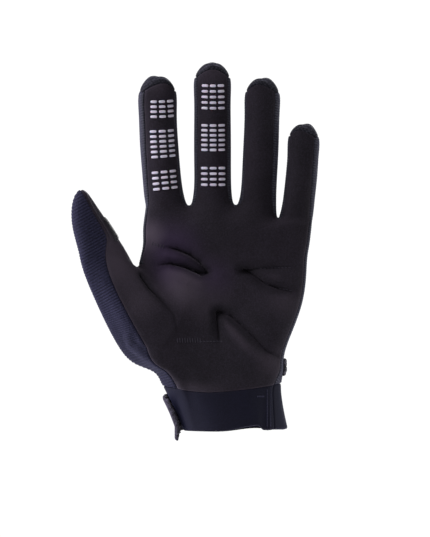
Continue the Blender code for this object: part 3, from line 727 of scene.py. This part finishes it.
def spot_share(place, spots):
    return sum(
        share * (1 - ease(math.hypot(place.x - x * 0.001, place.z - z * 0.001) / (reach * 0.001)))
        for x, z, reach, share in spots
    )


# Heights of the palm between which its mesh is cut finer, and into how many parts each way
PALM_BANDS = ((0.03, 0.050, 3), (0.050, 0.0995, 6), (0.0995, 0.1215, 3))

# How much creases, seams, ridges and sewn edges each count for painted shade and for paleness,
# which is partly wear and partly painted light
MOST_SHADE = 0.9
CREASE_SHADE = 0.62
CREASE_PAINTED_SHADE = 0.5
SEAM_SHARE = 2.2
RIDGE_WEAR_AND_LIGHT = 0.25
EDGE_WEAR = 0.2
EDGE_REACH = 0.0012

palm = cut_panel("palm_panel", "thumb_panel")
line_panel(palm, LEATHER)
for low, high, parts in PALM_BANDS:
    cut_finer(palm, True, parts - 1, low, high)
cut_finer(palm, False, 2, PALM_BANDS[0][0], PALM_BANDS[-1][1])
near = palm.verts.layers.float["seam"]
wear_and_painted_light, painted_sheen, shade = (palm.verts.layers.float.new(name) for name in ("wear_and_painted_light", "painted_sheen", "shade"))
# Painted light in the colour: painted shade in creases, along the thumb's seam and in the dark
# spots, paleness on ridges and spots that is partly wear and partly painted light, and a painted
# sheen
for vertex in palm.verts:
    wear_and_light = spot_share(vertex.co, WEAR_AND_LIGHT_SPOTS)
    if vertex.co.z < ROOT_UP:
        crease = (crease_depth(vertex.co) + SEAM_SHARE * seam_depth(vertex.co)) / CREASE_DEPTH
        wear_and_light += RIDGE_WEAR_AND_LIGHT * ridge_height(vertex.co) / RIDGE_HEIGHT
        wear_and_light += EDGE_WEAR * (1 - ease(vertex[near] / EDGE_REACH)) - CREASE_PAINTED_SHADE * crease
        vertex[painted_sheen] = min(1, spot_share(vertex.co, PAINTED_SHEEN_SPOTS))
        vertex[shade] = min(MOST_SHADE, CREASE_SHADE * crease)
    vertex[shade] = min(MOST_SHADE, vertex[shade] + spot_share(vertex.co, PAINTED_SHADE_SPOTS))
    vertex[wear_and_painted_light] = min(1, max(0, wear_and_light))
press_panel(palm, palm_shape)
palm_piece = show_piece(
    palm, "palm_and_thumb_suede", suede, ["palm_panel", "thumb_panel"]
)


# The grips. Pale silicone bars printed on the fronts of the index and middle fingers, three to a
# row, 4.5 by 1.6 mm with round ends and 0.6 mm high. Each finger has three groups, one to a bone.

GripGroup = namedtuple("GripGroup", "name finger up rows pitch turn")
GRIP_GROUPS = (
    GripGroup("grip_index_1", 0, 0.143, 4, 1.08, 9),
    GripGroup("grip_index_2", 0, 0.394, 6, 1.00, 13),
    GripGroup("grip_index_3", 0, 0.708, 4, 0.97, 17),
    GripGroup("grip_middle_1", 1, 0.150, 4, 1.09, 2),
    GripGroup("grip_middle_2", 1, 0.399, 6, 0.96, 2),
    GripGroup("grip_middle_3", 1, 0.696, 5, 1.09, 2),
)
GRIP_PITCH = 0.0031
GRIP_SPREAD = 31
BAR_WIDTH = 0.0045
BAR_LENGTH = 0.0016
BAR_HEIGHT = 0.0006

# A bar is a ball pulled apart at its middle, with a flattened top and a shallow, sunk underside
BAR_SPLIT = 0.00004
BAR_ROUND = 0.6
BAR_SINK = 0.3
OUTSIDE = 0.03

# Silicone print: milky and pale lilac, satin, with faint rubbed patches a few millimetres wide.
silicone, tree, shader, place = start_finish(
    "silicone_print", Roughness=0.55, Subsurface_Weight=0.12, Subsurface_Scale=0.0006,
    Specular_IOR_Level=0.35,
)
rubbed = add(tree, "ShaderNodeTexNoise", {"Vector": place, "Scale": 260, "Detail": 4})
colour = add(
    tree, "ShaderNodeMix", {0: rubbed.outputs["Fac"], 6: linear("#ebe6f4"), 7: linear("#c9c3d4")},
    data_type="RGBA",
).outputs[2]
join_shader(tree, shader, colour)


def surface_tree(mesh):
    return BVHTree.FromPolygons(
        [vertex.co for vertex in mesh.vertices], [face.vertices for face in mesh.polygons]
    )


def way_out(front, right, angle):
    """The way from a middle line outwards, at an angle from the front towards the right."""
    return right * math.sin(math.radians(angle)) + front * math.cos(math.radians(angle))


def outer_place(tree, centre, way):
    """Where a surface is first met from outside, looking towards a centre."""
    return tree.ray_cast(centre + way * OUTSIDE, -way)[0]


palm_tree = surface_tree(palm_piece.data)
for group in GRIP_GROUPS:
    finger = FINGERS[group.finger]
    bars = bmesh.new()
    for number in range(3 * group.rows):
        row, column = number // 3, number % 3 - 1
        made = bmesh.ops.create_uvsphere(
            bars, u_segments=20, v_segments=10, radius=BAR_LENGTH / 2,
            matrix=Matrix.Rotation(0.3, 4, "Z"),
        )
        for vertex in made["verts"]:
            x, y, z = vertex.co
            x += 0.5 * (BAR_WIDTH - BAR_LENGTH) * max(-1, min(1, x / BAR_SPLIT))
            high = group.up * finger.length + row * group.pitch * GRIP_PITCH + y
            angle = group.turn + column * GRIP_SPREAD + math.degrees(2 * x / finger.width)
            centre, right, front, _ = finger_frame(finger, high)
            way = way_out(front, right, angle)
            raised = max(0, 2 * z / BAR_LENGTH) ** BAR_ROUND * BAR_HEIGHT + min(0, z) * BAR_SINK
            vertex.co = outer_place(palm_tree, centre, way) + way * raised
    show_piece(bars, group.name + "_silicone", silicone, [group.name])


# The finger sides. Strips of ribbed polyester knit, 1.4 mm thick, sewn between palm and back: one
# along the index finger, one between each two fingers, and one down the little finger's edge.

KNIT = 0.0014
RIB_PITCH = 0.0017
RIB_HEIGHT = 0.00038
RIB_START = 0.0006
KNIT_TURN = (0.0014, 0.0009)
SIDE_TILT = 0.35
SIDE_CELL = 0.00045

# Polyester rib knit, grey at the fingers and navy at the thumb. The ribs are real, and the stitches
# along them are drawn at 0.8 mm. From the cloth's heights each rib's crest is painted lighter and
# its groove darker, a painted highlight and painted shade, and the shade attribute adds painted
# shade.
def knit_finish(name, groove, rib, lit):
    material, tree, shader, place = start_finish(
        name, Roughness=0.8, Sheen_Weight=0.16, Sheen_Roughness=0.5,
        Sheen_Tint=linear("#9898cc"), Specular_IOR_Level=0.15,
    )
    crest = add(tree, "ShaderNodeAttribute", attribute_name="crest")
    loops = add(tree, "ShaderNodeTexVoronoi", {"Vector": place, "Scale": 1250})
    tone = add(tree, "ShaderNodeTexNoise", {"Vector": place, "Scale": 90, "Detail": 3})
    dark = add(
        tree, "ShaderNodeMapRange",
        {"Value": loops.outputs["Distance"], "From Min": 0.1, "From Max": 0.7, "To Max": 0.5},
    )
    pale = add(
        tree, "ShaderNodeMapRange",
        {"Value": tone.outputs["Fac"], "From Min": 0.4, "From Max": 0.7, "To Max": 0.4},
    )
    shade = add(tree, "ShaderNodeAttribute", attribute_name="shade")
    colour = linear(groove)
    # Painted highlight on the crests, painted shade in the grooves and where the shade attribute is
    # set
    for share, code in (
        (crest.outputs["Fac"], rib), (dark.outputs["Result"], "#0b0b12"),
        (pale.outputs["Result"], lit), (shade.outputs["Fac"], "#05050a"),
    ):
        colour = add(
            tree, "ShaderNodeMix", {0: share, 6: colour, 7: linear(code)}, data_type="RGBA"
        ).outputs[2]
    relief = add(
        tree, "ShaderNodeBump",
        {"Height": loops.outputs["Distance"], "Strength": 0.6, "Distance": 0.0003}, invert=True,
    )
    join_shader(tree, shader, colour, relief)
    return material


grey_knit = knit_finish("grey_polyester_rib_knit", "#101017", "#55555f", "#3a3a45")
navy_knit = knit_finish("navy_polyester_rib_knit", "#06060d", "#34344e", "#242438")


def rib_wave(along):
    """The height of a rib at a place along the cloth, from 0 in the groove to 1 on the crest."""
    return abs(math.cos(math.pi * along / RIB_PITCH)) ** 0.8


def along_side(place):
    """How far across the ribs of a side strip a place lies, 1.45 mm to a rib."""
    return 1.17 * (place.z + SIDE_TILT * place.y)


def mark_crests(panel, along):
    crest_layer = panel.verts.layers.float.new("crest")
    lining = panel.verts.layers.float["lining"]
    for vertex in panel.verts:
        vertex[crest_layer] = rib_wave(along(vertex.co)) * (1 - vertex[lining])


def side_shape(place, gap, lining):
    deep = turned_edge(gap, *KNIT_TURN)
    rib = 0.8 * RIB_HEIGHT * rib_wave(along_side(place)) * ease(gap / RIB_START)
    return deep - (rib if lining == 0 else 0)


for name in PANELS[1:6]:
    strip = cut_panel(name)
    line_panel(strip, KNIT)
    cut_to(strip, SIDE_CELL)
    mark_crests(strip, along_side)
    press_panel(strip, side_shape)
    show_piece(strip, name + "_knit", grey_knit, [name])


# The back of the hand. Black stretch knit that wraps from the wrist over all four fingertips, and a
# matching piece over the back of the thumb.

BACK_TURN = (0.0015, 0.0009)
BACK_WAVE = (0.016, 0.0004)

# Polyester pique knit: black, with pale pinholes between its cells. The cells are finer than a
# pixel of the render, so they are drawn at 1.4 mm.
back_knit, tree, shader, place = start_finish(
    "polyester_pique_knit", Roughness=0.82, Sheen_Weight=0.2, Sheen_Roughness=0.5,
    Sheen_Tint=linear("#a4a4bc"), Specular_IOR_Level=0.15,
)
flat = add(
    tree, "ShaderNodeMapping", {"Vector": place, "Scale": (1, 0, 1), "Rotation": (0, 0.6, 0)}
)
cells = add(
    tree, "ShaderNodeTexVoronoi", {"Vector": flat.outputs[0], "Scale": 700, "Randomness": 0.45}
)
tone = add(tree, "ShaderNodeTexNoise", {"Vector": place, "Scale": 60, "Detail": 3})
colour = linear("#3a3a43")
for value, low, high, most, code in (
    (cells.outputs["Distance"], 0.15, 0.65, 1, "#111116"),
    (tone.outputs["Fac"], 0.4, 0.7, 0.4, "#1e1e26"),
):
    share = add(
        tree, "ShaderNodeMapRange",
        {"Value": value, "From Min": low, "From Max": high, "To Max": most},
    ).outputs["Result"]
    colour = add(
        tree, "ShaderNodeMix", {0: share, 6: colour, 7: linear(code)}, data_type="RGBA"
    ).outputs[2]
relief = add(
    tree, "ShaderNodeBump",
    {"Height": cells.outputs["Distance"], "Strength": 0.7, "Distance": 0.0004}, invert=True,
)
join_shader(tree, shader, colour, relief)


def back_shape(place, gap, lining):
    return turned_edge(gap, *BACK_TURN) + slack(place, *BACK_WAVE) * ease(gap / FOLD_HOLD)


for name in ("back_panel", "thumb_back"):
    back = cut_panel(name)
    line_panel(back, KNIT)
    press_panel(back, back_shape)
    show_piece(back, name + "_knit", back_knit, [name])


# The thumb gusset. Navy rib knit from the thumb's tip to the wrist, cut so that its ribs rise
# towards the palm. It creases once where the thumb's root bends.

# The ribs' tilt in degrees at the wrist and at the thumb, and the heights between which it changes
RIB_TILTS = (17, 30)
TILT_LOW = 0.045
TILT_SPAN = 0.035

# The roll at the thumb's root and the crease beside it, in millimetres across and up
GUSSET_FOLDS = (
    (-0.0009, ((-65.4, 56.7, 0.5), (-63.2, 51.0, 1.0), (-57.8, 47.2, 1.0), (-54.5, 44.6, 0.4))),
    (0.0012, ((-61.5, 57.5, 0.4), (-59.6, 52.6, 1.0), (-55.6, 50.0, 1.0), (-51.5, 47.0, 0.4))),
)
FOLD_REACH = 0.0032
GUSSET_CELL = 0.0007

# Painted shade: the gusset's colour is darkened towards the wrist, below this height
SHADE_MOST = 0.36
SHADE_TOP = 0.072
SHADE_SPAN = 0.022


def along_gusset(place):
    """How far across the ribs a place lies. They rise to the palm, most steeply at the thumb."""
    share = ease((place.z - TILT_LOW) / TILT_SPAN)
    tilt = math.radians(RIB_TILTS[0] + (RIB_TILTS[1] - RIB_TILTS[0]) * share)
    return place.z * math.cos(tilt) - place.x * math.sin(tilt)


def gusset_shape(place, gap, lining):
    deep = turned_edge(gap, *KNIT_TURN)
    rib = RIB_HEIGHT * rib_wave(along_gusset(place)) * ease(gap / RIB_START)
    for height, points in GUSSET_FOLDS:
        away, share = line_at(place, points)
        deep += share * height * (1 - ease(away / FOLD_REACH))
    return deep - (rib if lining == 0 else 0)


gusset = cut_panel("thumb_gusset")
line_panel(gusset, KNIT)
cut_to(gusset, GUSSET_CELL)
mark_crests(gusset, along_gusset)
shade = gusset.verts.layers.float.new("shade")
# Painted shade, deepest at the wrist
for vertex in gusset.verts:
    vertex[shade] = SHADE_MOST * ease((SHADE_TOP - vertex.co.z) / SHADE_SPAN)
press_panel(gusset, gusset_shape)
show_piece(gusset, "thumb_gusset_knit", navy_knit, ["thumb_gusset"])


# The thumb guard. A thin moulded rubber plate round the back of the thumb's middle, 1 mm thick,
# glued down, with its rim rounded off.


def even(first, last, count):
    return [first + (last - first) * step / count for step in range(count + 1)]


def lay_band(angles, heights, place, thick, turn, relief=lambda angle, height: 0):
    """A closed band laid on a surface. Its top is rounded off over a turn counted in cells."""
    columns, rows = len(angles) - 1, len(heights) - 1
    band = bmesh.new()
    bmesh.ops.create_grid(band, x_segments=columns, y_segments=rows, size=1)
    cell = band.verts.layers.float_vector.new("cell")
    for vertex in band.verts:
        column = round((vertex.co.x + 1) / 2 * columns)
        row = round((vertex.co.y + 1) / 2 * rows)
        rim = min(column, columns - column, row, rows - row)
        vertex[cell] = (angles[column], heights[row], rim)
        vertex.co = place(angles[column], heights[row], 0)
    top = bmesh.ops.extrude_face_region(band, geom=band.faces[:], use_keep_orig=True)["geom"]
    for item in top:
        if isinstance(item, bmesh.types.BMVert):
            angle, height, rim = item[cell]
            share = 0.35 + 0.65 * math.sqrt(1 - (1 - min(1, rim / turn)) ** 2)
            raised = relief(angle, height) if rim else 0
            item.co = place(angle, height, thick * share + raised)
    bmesh.ops.recalc_face_normals(band, faces=band.faces[:])
    return band


form_tree = surface_tree(form)

# Moulded rubber: satin black, with dusty patches of 7 mm and a fine grain, drawn at 0.9 mm.
rubber, tree, shader, place = start_finish("moulded_rubber", Roughness=0.55, Specular_IOR_Level=0.4)
grain = add(tree, "ShaderNodeTexNoise", {"Vector": place, "Scale": 1100, "Detail": 3})
dust = add(tree, "ShaderNodeTexNoise", {"Vector": place, "Scale": 140, "Detail": 4})
colour = add(
    tree, "ShaderNodeMix", {0: dust.outputs["Fac"], 6: linear("#131217"), 7: linear("#2a2931")},
    data_type="RGBA",
).outputs[2]
relief = add(
    tree, "ShaderNodeBump", {"Height": grain.outputs["Fac"], "Strength": 0.4, "Distance": 0.0002}
)
join_shader(tree, shader, colour, relief)

GUARD_LENGTH = 0.0150
GUARD_THICK = 0.0010
GUARD_DROP = 0.0020
GUARD_SINK = 0.0002
GUARD_ANGLES = (60, 262)
guard_low, guard_high = (thumb_centre(ring[0], ring[1], ring[4]) for ring in THUMB_RINGS[1:3])
guard_line = (guard_high - guard_low).normalized()
guard_right = AWAY.cross(guard_line).normalized()


def on_guard(angle, height, raised):
    centre = (guard_low + guard_high) / 2 + guard_line * (height - GUARD_DROP)
    way = way_out(guard_right.cross(guard_line), guard_right, angle)
    return form_tree.ray_cast(centre, way)[0] + way * (raised - GUARD_SINK)


guard = lay_band(
    even(*GUARD_ANGLES, 72), even(-GUARD_LENGTH / 2, GUARD_LENGTH / 2, 20), on_guard, GUARD_THICK, 3
)
show_piece(guard, "thumb_guard_rubber", rubber, ["thumb_guard"])


# The cuff. Navy neoprene with a fine jersey face, 2.2 mm thick, in two pieces: one across the
# front, one round the back, joined by a flat seam near the little finger's side.

NEOPRENE = 0.0022
CUFF_TURN = (0.0016, 0.0007)

# The hem steps down where the front is sewn over the back
HEM_STEP = 0.0028
HEM_STEP_PLACE = 0.0130
HEM_STEP_SPAN = 0.0035

# Neoprene with a jersey face: matt navy, a little uneven, its fine loops drawn at 0.8 mm.
neoprene, tree, shader, place = start_finish(
    "neoprene_jersey", Roughness=0.75, Sheen_Weight=0.12, Sheen_Roughness=0.45,
    Sheen_Tint=linear("#8a90cc"), Specular_IOR_Level=0.15,
)
jersey = add(tree, "ShaderNodeTexNoise", {"Vector": place, "Scale": 1300, "Detail": 3})
tone = add(tree, "ShaderNodeTexNoise", {"Vector": place, "Scale": 45, "Detail": 2})
pale = add(
    tree, "ShaderNodeMapRange",
    {"Value": jersey.outputs["Fac"], "From Min": 0.4, "From Max": 0.75, "To Max": 0.3},
)
colour = linear("#0e0e19")
for share, code in ((tone.outputs["Fac"], "#151525"), (pale.outputs["Result"], "#202034")):
    colour = add(
        tree, "ShaderNodeMix", {0: share, 6: colour, 7: linear(code)}, data_type="RGBA"
    ).outputs[2]
relief = add(
    tree, "ShaderNodeBump", {"Height": jersey.outputs["Fac"], "Strength": 0.35, "Distance": 0.0002}
)
join_shader(tree, shader, colour, relief)


def cuff_shape(place, gap, lining):
    return turned_edge(gap, *CUFF_TURN)


for name in ("cuff_front", "cuff_back"):
    cuff = cut_panel(name)
    line_panel(cuff, NEOPRENE)
    cut_finer(cuff, False, 1)
    press_panel(cuff, cuff_shape)
    for vertex in cuff.verts:
        low = 1 - ease(vertex.co.z / CUFF_LENGTH)
        if name == "cuff_back":
            vertex.co.z -= HEM_STEP * low * ease(vertex.co.x / HEM_WIDTH + 0.5)
        else:
            vertex.co.z -= HEM_STEP * low * ease((vertex.co.x - HEM_STEP_PLACE) / HEM_STEP_SPAN)
    piece = show_piece(cuff, name + "_neoprene", neoprene, [name])
    if name == "cuff_front":
        cuff_front_piece = piece


# The strap. A band of jersey-faced webbing, 26 by 1.8 mm, from the little finger's side round the
# back of the cuff. Its free end carries a pad of hook tape inside, which grips the loop tape there.

STRAP_WIDTH = 0.0262
STRAP_THICK = 0.0018
STRAP_CENTRE = 0.0190
STRAP_TILT = math.radians(17)
STRAP_DROOP = 0.0028
DROOP_START = 258
DROOP_SPAN = 24
STRAP_START = 122
STRAP_END = 286
STRAP_CLEAR = 0.0005
STRAP_FLARE = 0.0016
STRAP_TAPER = 0.0034
TAPER_END = 264
TAPER_SPAN = 12
CORNER_CUT = 0.0030
CORNER_SPAN = 5
HOOK_PAD_THICK = 0.0006
HOOK_PAD_START = STRAP_END - 24
HOOK_PAD_END = STRAP_END - 1.5
HOOK_LENGTH = 0.0007
HOOK_PITCH = 0.0012
HOOK_RADII = (0.00042, 0.00020)
HOOK_INSET = 0.8
PAD_GAP = 0.0002
PAD_SINK = 0.0001
ROOM_LEAD = 14
ROOM_SPAN = 12
FLARE_SPAN = 24
FRAY_LEAD = 4
FRAY_SPAN = 3
WRIST_RADIUS = 0.031


def strap_place(angle, height, raised, lift=0):
    """A place on the band that runs round the cuff and rises towards the little finger."""
    way = way_out(-AWAY, Vector((1, 0, 0)), angle)
    high = STRAP_CENTRE + lift + math.tan(STRAP_TILT) * way.x * 0.5 * HEM_WIDTH
    high -= STRAP_DROOP * ease((angle - DROOP_START) / DROOP_SPAN)
    high += height * math.cos(STRAP_TILT)
    level = max(high, 0.1 * CUFF_LENGTH)
    centre = Vector((-CUFF_LEAN * level / CUFF_LENGTH, 0, level))
    found = form_tree.ray_cast(centre, way)[0]
    return found + way * (STRAP_CLEAR + raised) + UP * (high - level)


def free_end(angle):
    """How far the free end of the strap stands off to make room for its hooks."""
    room = HOOK_PAD_THICK + HOOK_LENGTH + PAD_GAP
    room *= ease((angle - HOOK_PAD_START + ROOM_LEAD) / ROOM_SPAN)
    return room + STRAP_FLARE * ease((angle - HOOK_PAD_START) / FLARE_SPAN)


# Jersey-faced webbing, a dusty purple black: fine cross ribs at 0.9 mm, paler where its cut edge
# shows the undyed core.
webbing, tree, shader, place = start_finish(
    "jersey_webbing", Roughness=0.75, Sheen_Weight=0.3, Sheen_Roughness=0.4,
    Sheen_Tint=linear("#b8aed0"), Specular_IOR_Level=0.2,
)
cross_ribs = add(
    tree, "ShaderNodeTexWave", {"Vector": place, "Scale": 350, "Distortion": 1.5},
    bands_direction="Z",
)
fuzz = add(tree, "ShaderNodeTexNoise", {"Vector": place, "Scale": 900, "Detail": 4})
half_fuzz = add(tree, "ShaderNodeMath", {0: fuzz.outputs["Fac"], 1: 0.5}, operation="MULTIPLY")
edge = add(tree, "ShaderNodeAttribute", attribute_name="edge")
spots = add(
    tree, "ShaderNodeTexNoise", {"Vector": place, "Scale": 620, "Detail": 5, "Roughness": 0.7}
)
fray = add(
    tree, "ShaderNodeMapRange", {"Value": spots.outputs["Fac"], "From Min": 0.42, "From Max": 0.62}
)
frayed = add(
    tree, "ShaderNodeMix", {0: fray.outputs["Result"], 6: linear("#0e0d11"), 7: linear("#4b4855")},
    data_type="RGBA",
).outputs[2]
colour = linear("#1b1921")
for share, over in (
    (cross_ribs.outputs["Fac"], linear("#2b2834")), (half_fuzz.outputs[0], linear("#3b3747")),
    (edge.outputs["Fac"], frayed),
):
    colour = add(
        tree, "ShaderNodeMix", {0: share, 6: colour, 7: over}, data_type="RGBA"
    ).outputs[2]
relief = add(
    tree, "ShaderNodeBump",
    {"Height": cross_ribs.outputs["Fac"], "Strength": 0.5, "Distance": 0.0002},
)
join_shader(tree, shader, colour, relief)


def on_strap(angle, height, raised):
    cut = STRAP_TAPER * (1 - ease((angle - TAPER_END) / TAPER_SPAN))
    cut += CORNER_CUT * ease((angle - STRAP_END + CORNER_SPAN) / CORNER_SPAN) ** 2
    height += cut * (0.5 - height / STRAP_WIDTH)
    return strap_place(angle, height, free_end(angle) + raised)


strap = lay_band(
    even(STRAP_START, STRAP_END, 110), even(-STRAP_WIDTH / 2, STRAP_WIDTH / 2, 36), on_strap,
    STRAP_THICK, 3,
)
cell = strap.verts.layers.float_vector["cell"]
edge_layer = strap.verts.layers.float.new("edge")
for vertex in strap.verts:
    vertex[edge_layer] = ease((vertex[cell][0] - STRAP_END + FRAY_LEAD) / FRAY_SPAN)
show_piece(strap, "strap_webbing", webbing, ["strap"])

# Nylon hook and loop tape: black, worn grey in spots of 1 to 2 mm.
tape, tree, shader, place = start_finish(
    "nylon_hook_and_loop", Roughness=0.7, Specular_IOR_Level=0.3
)
spots = add(
    tree, "ShaderNodeTexNoise", {"Vector": place, "Scale": 620, "Detail": 5, "Roughness": 0.7}
)
grey = add(
    tree, "ShaderNodeMapRange", {"Value": spots.outputs["Fac"], "From Min": 0.42, "From Max": 0.62}
)
colour = add(
    tree, "ShaderNodeMix", {0: grey.outputs["Result"], 6: linear("#0e0d11"), 7: linear("#605d6a")},
    data_type="RGBA",
).outputs[2]
relief = add(
    tree, "ShaderNodeBump", {"Height": spots.outputs["Fac"], "Strength": 0.8, "Distance": 0.0005}
)
join_shader(tree, shader, colour, relief)


def on_pad(angle, height, raised):
    return strap_place(angle, height, free_end(angle) - HOOK_PAD_THICK - PAD_SINK + raised)


pad_half = STRAP_WIDTH / 3
pad = lay_band(
    even(HOOK_PAD_START, HOOK_PAD_END, 30), even(-pad_half, pad_half, 36), on_pad,
    HOOK_PAD_THICK, 2,
)
rows = int(2 * pad_half / HOOK_PITCH)
columns = int(math.radians(HOOK_PAD_END - HOOK_PAD_START) * WRIST_RADIUS / HOOK_PITCH)
for number in range(rows * columns):
    row, column = divmod(number, columns)
    angle = HOOK_PAD_END - HOOK_INSET - column * math.degrees(HOOK_PITCH / WRIST_RADIUS)
    height = (row - (rows - 1) / 2) * HOOK_PITCH
    root, head = (on_pad(angle, height, raised) for raised in (PAD_SINK, -HOOK_LENGTH))
    turned = (root - head).to_track_quat("Z", "Y").to_matrix().to_4x4()
    bmesh.ops.create_cone(
        pad, cap_ends=True, segments=12, radius1=HOOK_RADII[0], radius2=HOOK_RADII[1],
        depth=(root - head).length, matrix=Matrix.Translation((root + head) / 2) @ turned,
    )
show_piece(pad, "strap_hook_tape", tape, ["strap_hook_pad"])

ANCHOR_WIDTH = 0.0110
ANCHOR_THICK = 0.0016
ANCHOR_LIFT = STRAP_WIDTH / 2 - 0.30 * ANCHOR_WIDTH
ANCHOR_START = 84
ANCHOR_END = STRAP_START - 1.2
LOOP_HEIGHT = 0.0007
LOOP_PITCH = 0.0011


def on_anchor(angle, height, raised):
    return strap_place(angle, height, raised, ANCHOR_LIFT)


def loops_of(angle, height):
    """The crushed loops of the tape, 1 mm wide and up to 0.4 mm high."""
    across_tape = math.radians(angle) * WRIST_RADIUS
    return LOOP_HEIGHT * noise.noise(Vector((across_tape, height, 0)) / LOOP_PITCH)


anchor = lay_band(
    even(ANCHOR_START, ANCHOR_END, 60), even(-ANCHOR_WIDTH / 2, ANCHOR_WIDTH / 2, 34),
    on_anchor, ANCHOR_THICK, 9, loops_of,
)
show_piece(anchor, "strap_loop_tape", tape, ["strap_anchor"])


# The stitching. Polyester thread, drawn 0.5 mm thick so that it shows, sunk into the leather at the
# ends of its darts and along the flat seam of the cuff. Each stitch is a spindle.

# Polyester thread: a dull sheen, and tone that changes every 0.7 mm along the twist.
def thread_finish(name, dark, pale, **values):
    material, tree, shader, place = start_finish(name, **values)
    twist = add(tree, "ShaderNodeTexNoise", {"Vector": place, "Scale": 1500, "Detail": 2})
    colour = add(
        tree, "ShaderNodeMix", {0: twist.outputs["Fac"], 6: linear(dark), 7: linear(pale)},
        data_type="RGBA",
    ).outputs[2]
    join_shader(tree, shader, colour)
    return material


threads = (
    thread_finish("polyester_thread", "#232129", "#3b3844", Roughness=0.6, Specular_IOR_Level=0.3),
    thread_finish(
        "navy_polyester_thread", "#262638", "#38384e", Roughness=0.65, Specular_IOR_Level=0.2
    ),
)

# Lines of stitching on the leather (0) or the cuff (1), in millimetres across and up, with the
# pitch and a stitch's own way and length
Sewing = namedtuple("Sewing", "name cloth start end pitch way length")
SEWING = (
    Sewing("index_dart_hatch", 0, (-50.0, 112.4), (-43.6, 110.6), 1.5, (0.35, 1.0), 2.6),
    Sewing("middle_dart_line", 0, (15.0, 97.6), (32.0, 98.2), 2.1, (1.0, 0.0), 1.7),
    Sewing("middle_dart_end", 0, (26.6, 85.6), (32.4, 84.4), 1.9, (1.0, -0.3), 1.6),
    Sewing("heel_dart_hatch", 0, (-35.0, 54.6), (-21.4, 54.6), 1.5, (-0.1, 1.0), 3.2),
    Sewing("heel_dart_line", 0, (-21.0, 53.9), (-9.0, 54.0), 2.1, (1.0, 0.0), 1.8),
    Sewing("cuff_seam_inner", 1, (18.6, 28.0), (18.6, 1.6), 1.9, (0.0, 1.0), 2.2),
    Sewing("cuff_seam_outer", 1, (20.7, 27.6), (20.7, 1.8), 1.9, (0.0, 1.0), 2.3),
    Sewing("cuff_bartack", 1, (12.8, 21.0), (16.6, 21.0), 0.55, (0.0, 1.0), 1.1),
)
THREAD_RADIUS = 0.00026
SEEN_FROM = 0.2
cuff_tree = surface_tree(cuff_front_piece.data)
for line in SEWING:
    cloth_tree = (palm_tree, cuff_tree)[line.cloth]
    stitches = bmesh.new()
    start, end = (Vector((point[0], 0, point[1])) * 0.001 for point in (line.start, line.end))
    way = Vector((line.way[0], 0, line.way[1])).normalized() * 0.001
    for share in even(0, 1, round((end - start).length / line.pitch * 1000)):
        middle = start.lerp(end, share)
        met = []
        for side in (-0.5, 0.5):
            seen_from = middle + way * line.length * side - AWAY * SEEN_FROM
            met.append(cloth_tree.ray_cast(seen_from, AWAY)[0])
        if None in met:
            continue
        first, last = met
        turned = (last - first).to_track_quat("Z", "Y").to_matrix().to_4x4()
        size = Matrix.Diagonal((THREAD_RADIUS, THREAD_RADIUS, (last - first).length / 2, 1))
        bmesh.ops.create_uvsphere(
            stitches, u_segments=12, v_segments=8, radius=1,
            matrix=Matrix.Translation((first + last) / 2) @ turned @ size,
        )
    show_piece(stitches, line.name, threads[line.cloth])


# The studio: a white floor below the glove, white all round, a soft key light from the upper left,
# a long strip at each side, a fill behind for the glove's back, and a long lens square to the palm.

CAMERA_AWAY = 5.0
FRAME_HEIGHT = 0.3222
FRAME_CENTRE = (-0.0126, 0.0975)
SENSOR = 36

camera = bpy.data.cameras.new("camera")
camera.sensor_width = SENSOR
camera.lens = SENSOR * CAMERA_AWAY / FRAME_HEIGHT
camera.clip_end = 100
eye = set_out("camera", camera)
eye.location = (FRAME_CENTRE[0], -CAMERA_AWAY, FRAME_CENTRE[1])
eye.rotation_euler = (math.radians(90), 0, 0)
bpy.context.scene.camera = eye

FLOOR_RADIUS = 0.45
FLOOR_HEIGHT = -0.087
ground = bmesh.new()
bmesh.ops.create_circle(ground, cap_ends=True, segments=96, radius=FLOOR_RADIUS)
bmesh.ops.translate(ground, verts=ground.verts, vec=(0, 0, FLOOR_HEIGHT))
mesh = bpy.data.meshes.new("floor")
ground.to_mesh(mesh)
ground.free()
floor = set_out("floor", mesh)

# Matt white paper, a shade uneven over 30 mm.
paper, tree, shader, place = start_finish(
    "white_studio_paper", Roughness=0.9, Specular_IOR_Level=0.1
)
fibre = add(tree, "ShaderNodeTexNoise", {"Vector": place, "Scale": 30, "Detail": 3})
colour = add(
    tree, "ShaderNodeMix", {0: fibre.outputs["Fac"], 6: linear("#f6f6f8"), 7: linear("#fbfbfc")},
    data_type="RGBA",
).outputs[2]
join_shader(tree, shader, colour)
mesh.materials.append(paper)


def hang_light(name, place, aim, size, power, tint="#ffffff"):
    """A soft rectangular light, aimed at a point of the glove."""
    lamp = bpy.data.lights.new(name, "AREA")
    lamp.shape = "RECTANGLE"
    lamp.size, lamp.size_y = size
    lamp.energy = power
    lamp.color = linear(tint)[:3]
    light = set_out(name, lamp)
    light.location = place
    light.rotation_euler = (Vector(aim) - Vector(place)).to_track_quat("-Z", "Y").to_euler()


hang_light("key", (-0.9, -0.40, 0.95), (0, 0, 0.1), (0.4, 0.4), 11, "#fbf6ff")
hang_light("left_strip", (-0.8, 0.05, 0.2), (0, 0, 0.1), (0.2, 0.9), 6, "#f4f0ff")
hang_light("right_strip", (0.8, 0.1, 0.2), (0, 0, 0.1), (0.2, 0.9), 3)
hang_light("back_fill", (0.25, 1.2, 0.45), (0, 0, 0.1), (0.8, 0.8), 9)

world = bpy.data.worlds.new("white_room")
world.use_nodes = True
bpy.context.scene.world = world
tree = world.node_tree
room = tree.nodes["Background"]
seen = add(tree, "ShaderNodeLightPath").outputs["Is Camera Ray"]
strength = add(
    tree, "ShaderNodeMapRange", {"Value": seen, "To Min": 0.24, "To Max": 1.05}
).outputs["Result"]
room.inputs["Color"].default_value = (1, 1, 1, 1)
tree.links.new(strength, room.inputs["Strength"])
bpy.context.scene.view_settings.view_transform = "Standard"
